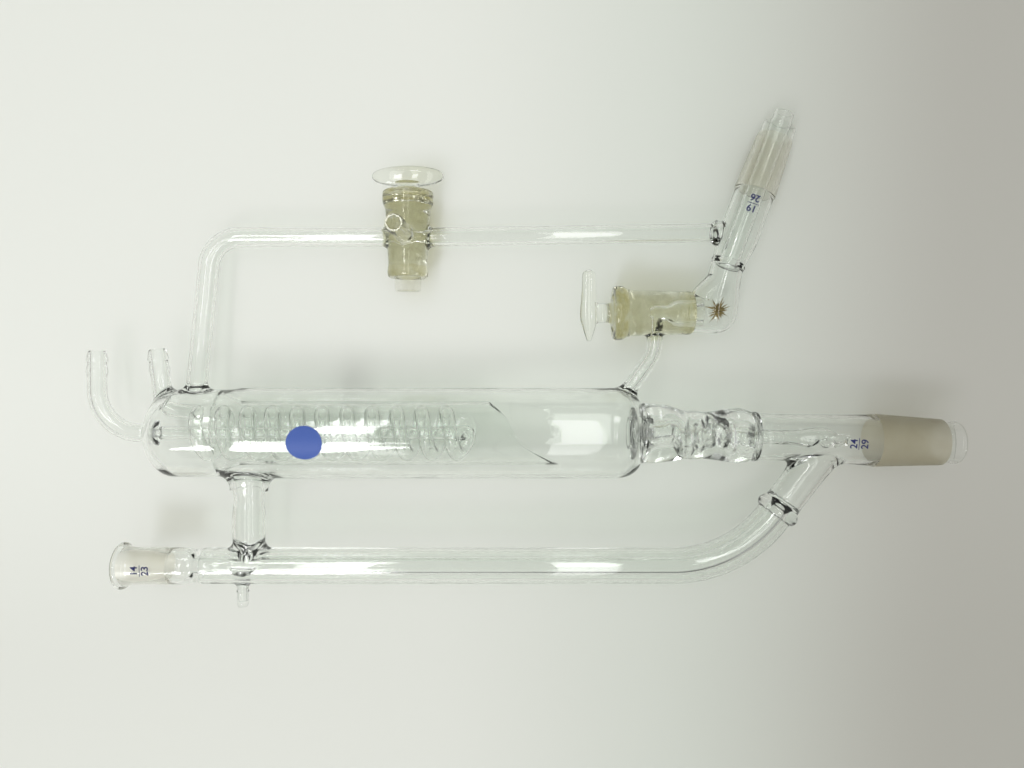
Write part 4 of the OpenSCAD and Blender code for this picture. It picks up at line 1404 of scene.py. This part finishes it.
BLUE = plain("printed blue", (20, 28, 92), 0.6)
MARK_BLUE = plain("printed mark", (62, 92, 172), 0.5)
for name, sizes, tube, radius, along, across in (
        ("flask_size", (24, 29), FOOT, NECK_R + 0.75, 95.1, -1.3),
        ("receiver_size", (19, 26), RECEIVER, 9.2, 27, 0.8),
        ("socket_size", (14, 23), SOCKET_IN, 8.3, 12.5, -0.6)):
    wrapped(name, size_mark(*sizes), BLUE, tube, radius, along, across, turn=90)
wrapped("blue_disc", blue_disc(15.6, 15.2), MARK_BLUE, ALONG_AXIS, SHELL_R + 0.06, 41.2, -3.2,
        turn=0)
crystal_star((224.2, 55.7, -1))

# ---------------- bench, light and camera

scene = bpy.context.scene
scene.view_settings.view_transform = "Standard"
scene.cycles.max_bounces = scene.cycles.transmission_bounces = 32
scene.cycles.transparent_max_bounces = 64
scene.cycles.caustics_refractive = scene.cycles.caustics_reflective = False


def bench_top():
    """A pale bench with painted shade: greyer towards the flask cone and towards its lower edge,
    standing in for the lamps' light falling off there.
    """
    f = Finish("bench")
    x, y, _ = f.drawing()
    # painted shade: the bench darkens towards the flask cone in place of the lamps' light falling off
    # to that side
    shade = f.blend(x.over(80, 240), (238, 239, 233), (220, 224, 216))
    shade = f.blend(x.over(190, 350), shade, (186, 184, 177))
    # painted shade: darker towards the lower edge, holding down the window lamp's light there
    shade = f.blend(y.over(30, -130) * 0.16, shade, (124, 122, 110))
    return f.done(f.surface(shade, 0.65))


bpy.ops.mesh.primitive_plane_add(size=6, location=(0, 0, -0.0002))
floor = bpy.context.object
floor.name = "bench"
floor.data.materials.append(bench_top())


def room():
    """Pale walls and ceiling all round, with a few darker places low down."""
    f = Finish("room", room=True)
    way = f.node("ShaderNodeTexCoord", output="Generated")
    up = f.node("ShaderNodeSeparateXYZ", [way], output=2)
    dark = f.node("ShaderNodeTexNoise", {"Vector": way, "Scale": 2.6, "Detail": 1.0}).over(0.5, 0.62)
    walls = f.blend(up.over(0.0, 0.55), (216, 220, 215), (246, 249, 243))
    walls = f.blend(dark * up.over(0.5, 0.1), walls, (122, 126, 120))
    return f.done(f.node("ShaderNodeBackground", {"Color": walls, "Strength": 0.485}))


scene.world = room()


def lamp(name, x, y, aim, size, power):
    """A rectangular lamp under the ceiling that is aimed at a place on the bench."""
    data = bpy.data.lights.new(name, "AREA")
    data.shape = "RECTANGLE"
    data.size, data.size_y = size
    data.energy = power
    light = placed(name, data)
    light.location = place = Vector((x, y, LAMP_HEIGHT))
    light.rotation_euler = (Vector((*aim, 0)) - place).to_track_quat("-Z", "Y").to_euler()


LAMP_HEIGHT = 1.5
lamp("window", -0.6, -0.95, (0, 0), (0.5, 0.5), 10.5)
for name, x, y, size, power in (("tube lamp", -0.41, 0.4, (0.14, 0.5), 2.6),
                                ("left panel", -0.42, -0.26, (0.17, 3.0), 3.6),
                                ("right panel", 0.178, -0.26, (0.155, 3.0), 3.6)):
    lamp(name, x, y, (x, y), size, power)

EYE = (130.5, 22.27, 356.85)
view = bpy.data.cameras.new("camera")
view.lens = 27.6
view.sensor_width = 36
view.clip_start = 0.01
camera = placed("camera", view)
camera.location = AT_REST @ Vector(EYE)
camera.rotation_euler = (-ROLL, 0, 0)
scene.camera = camera
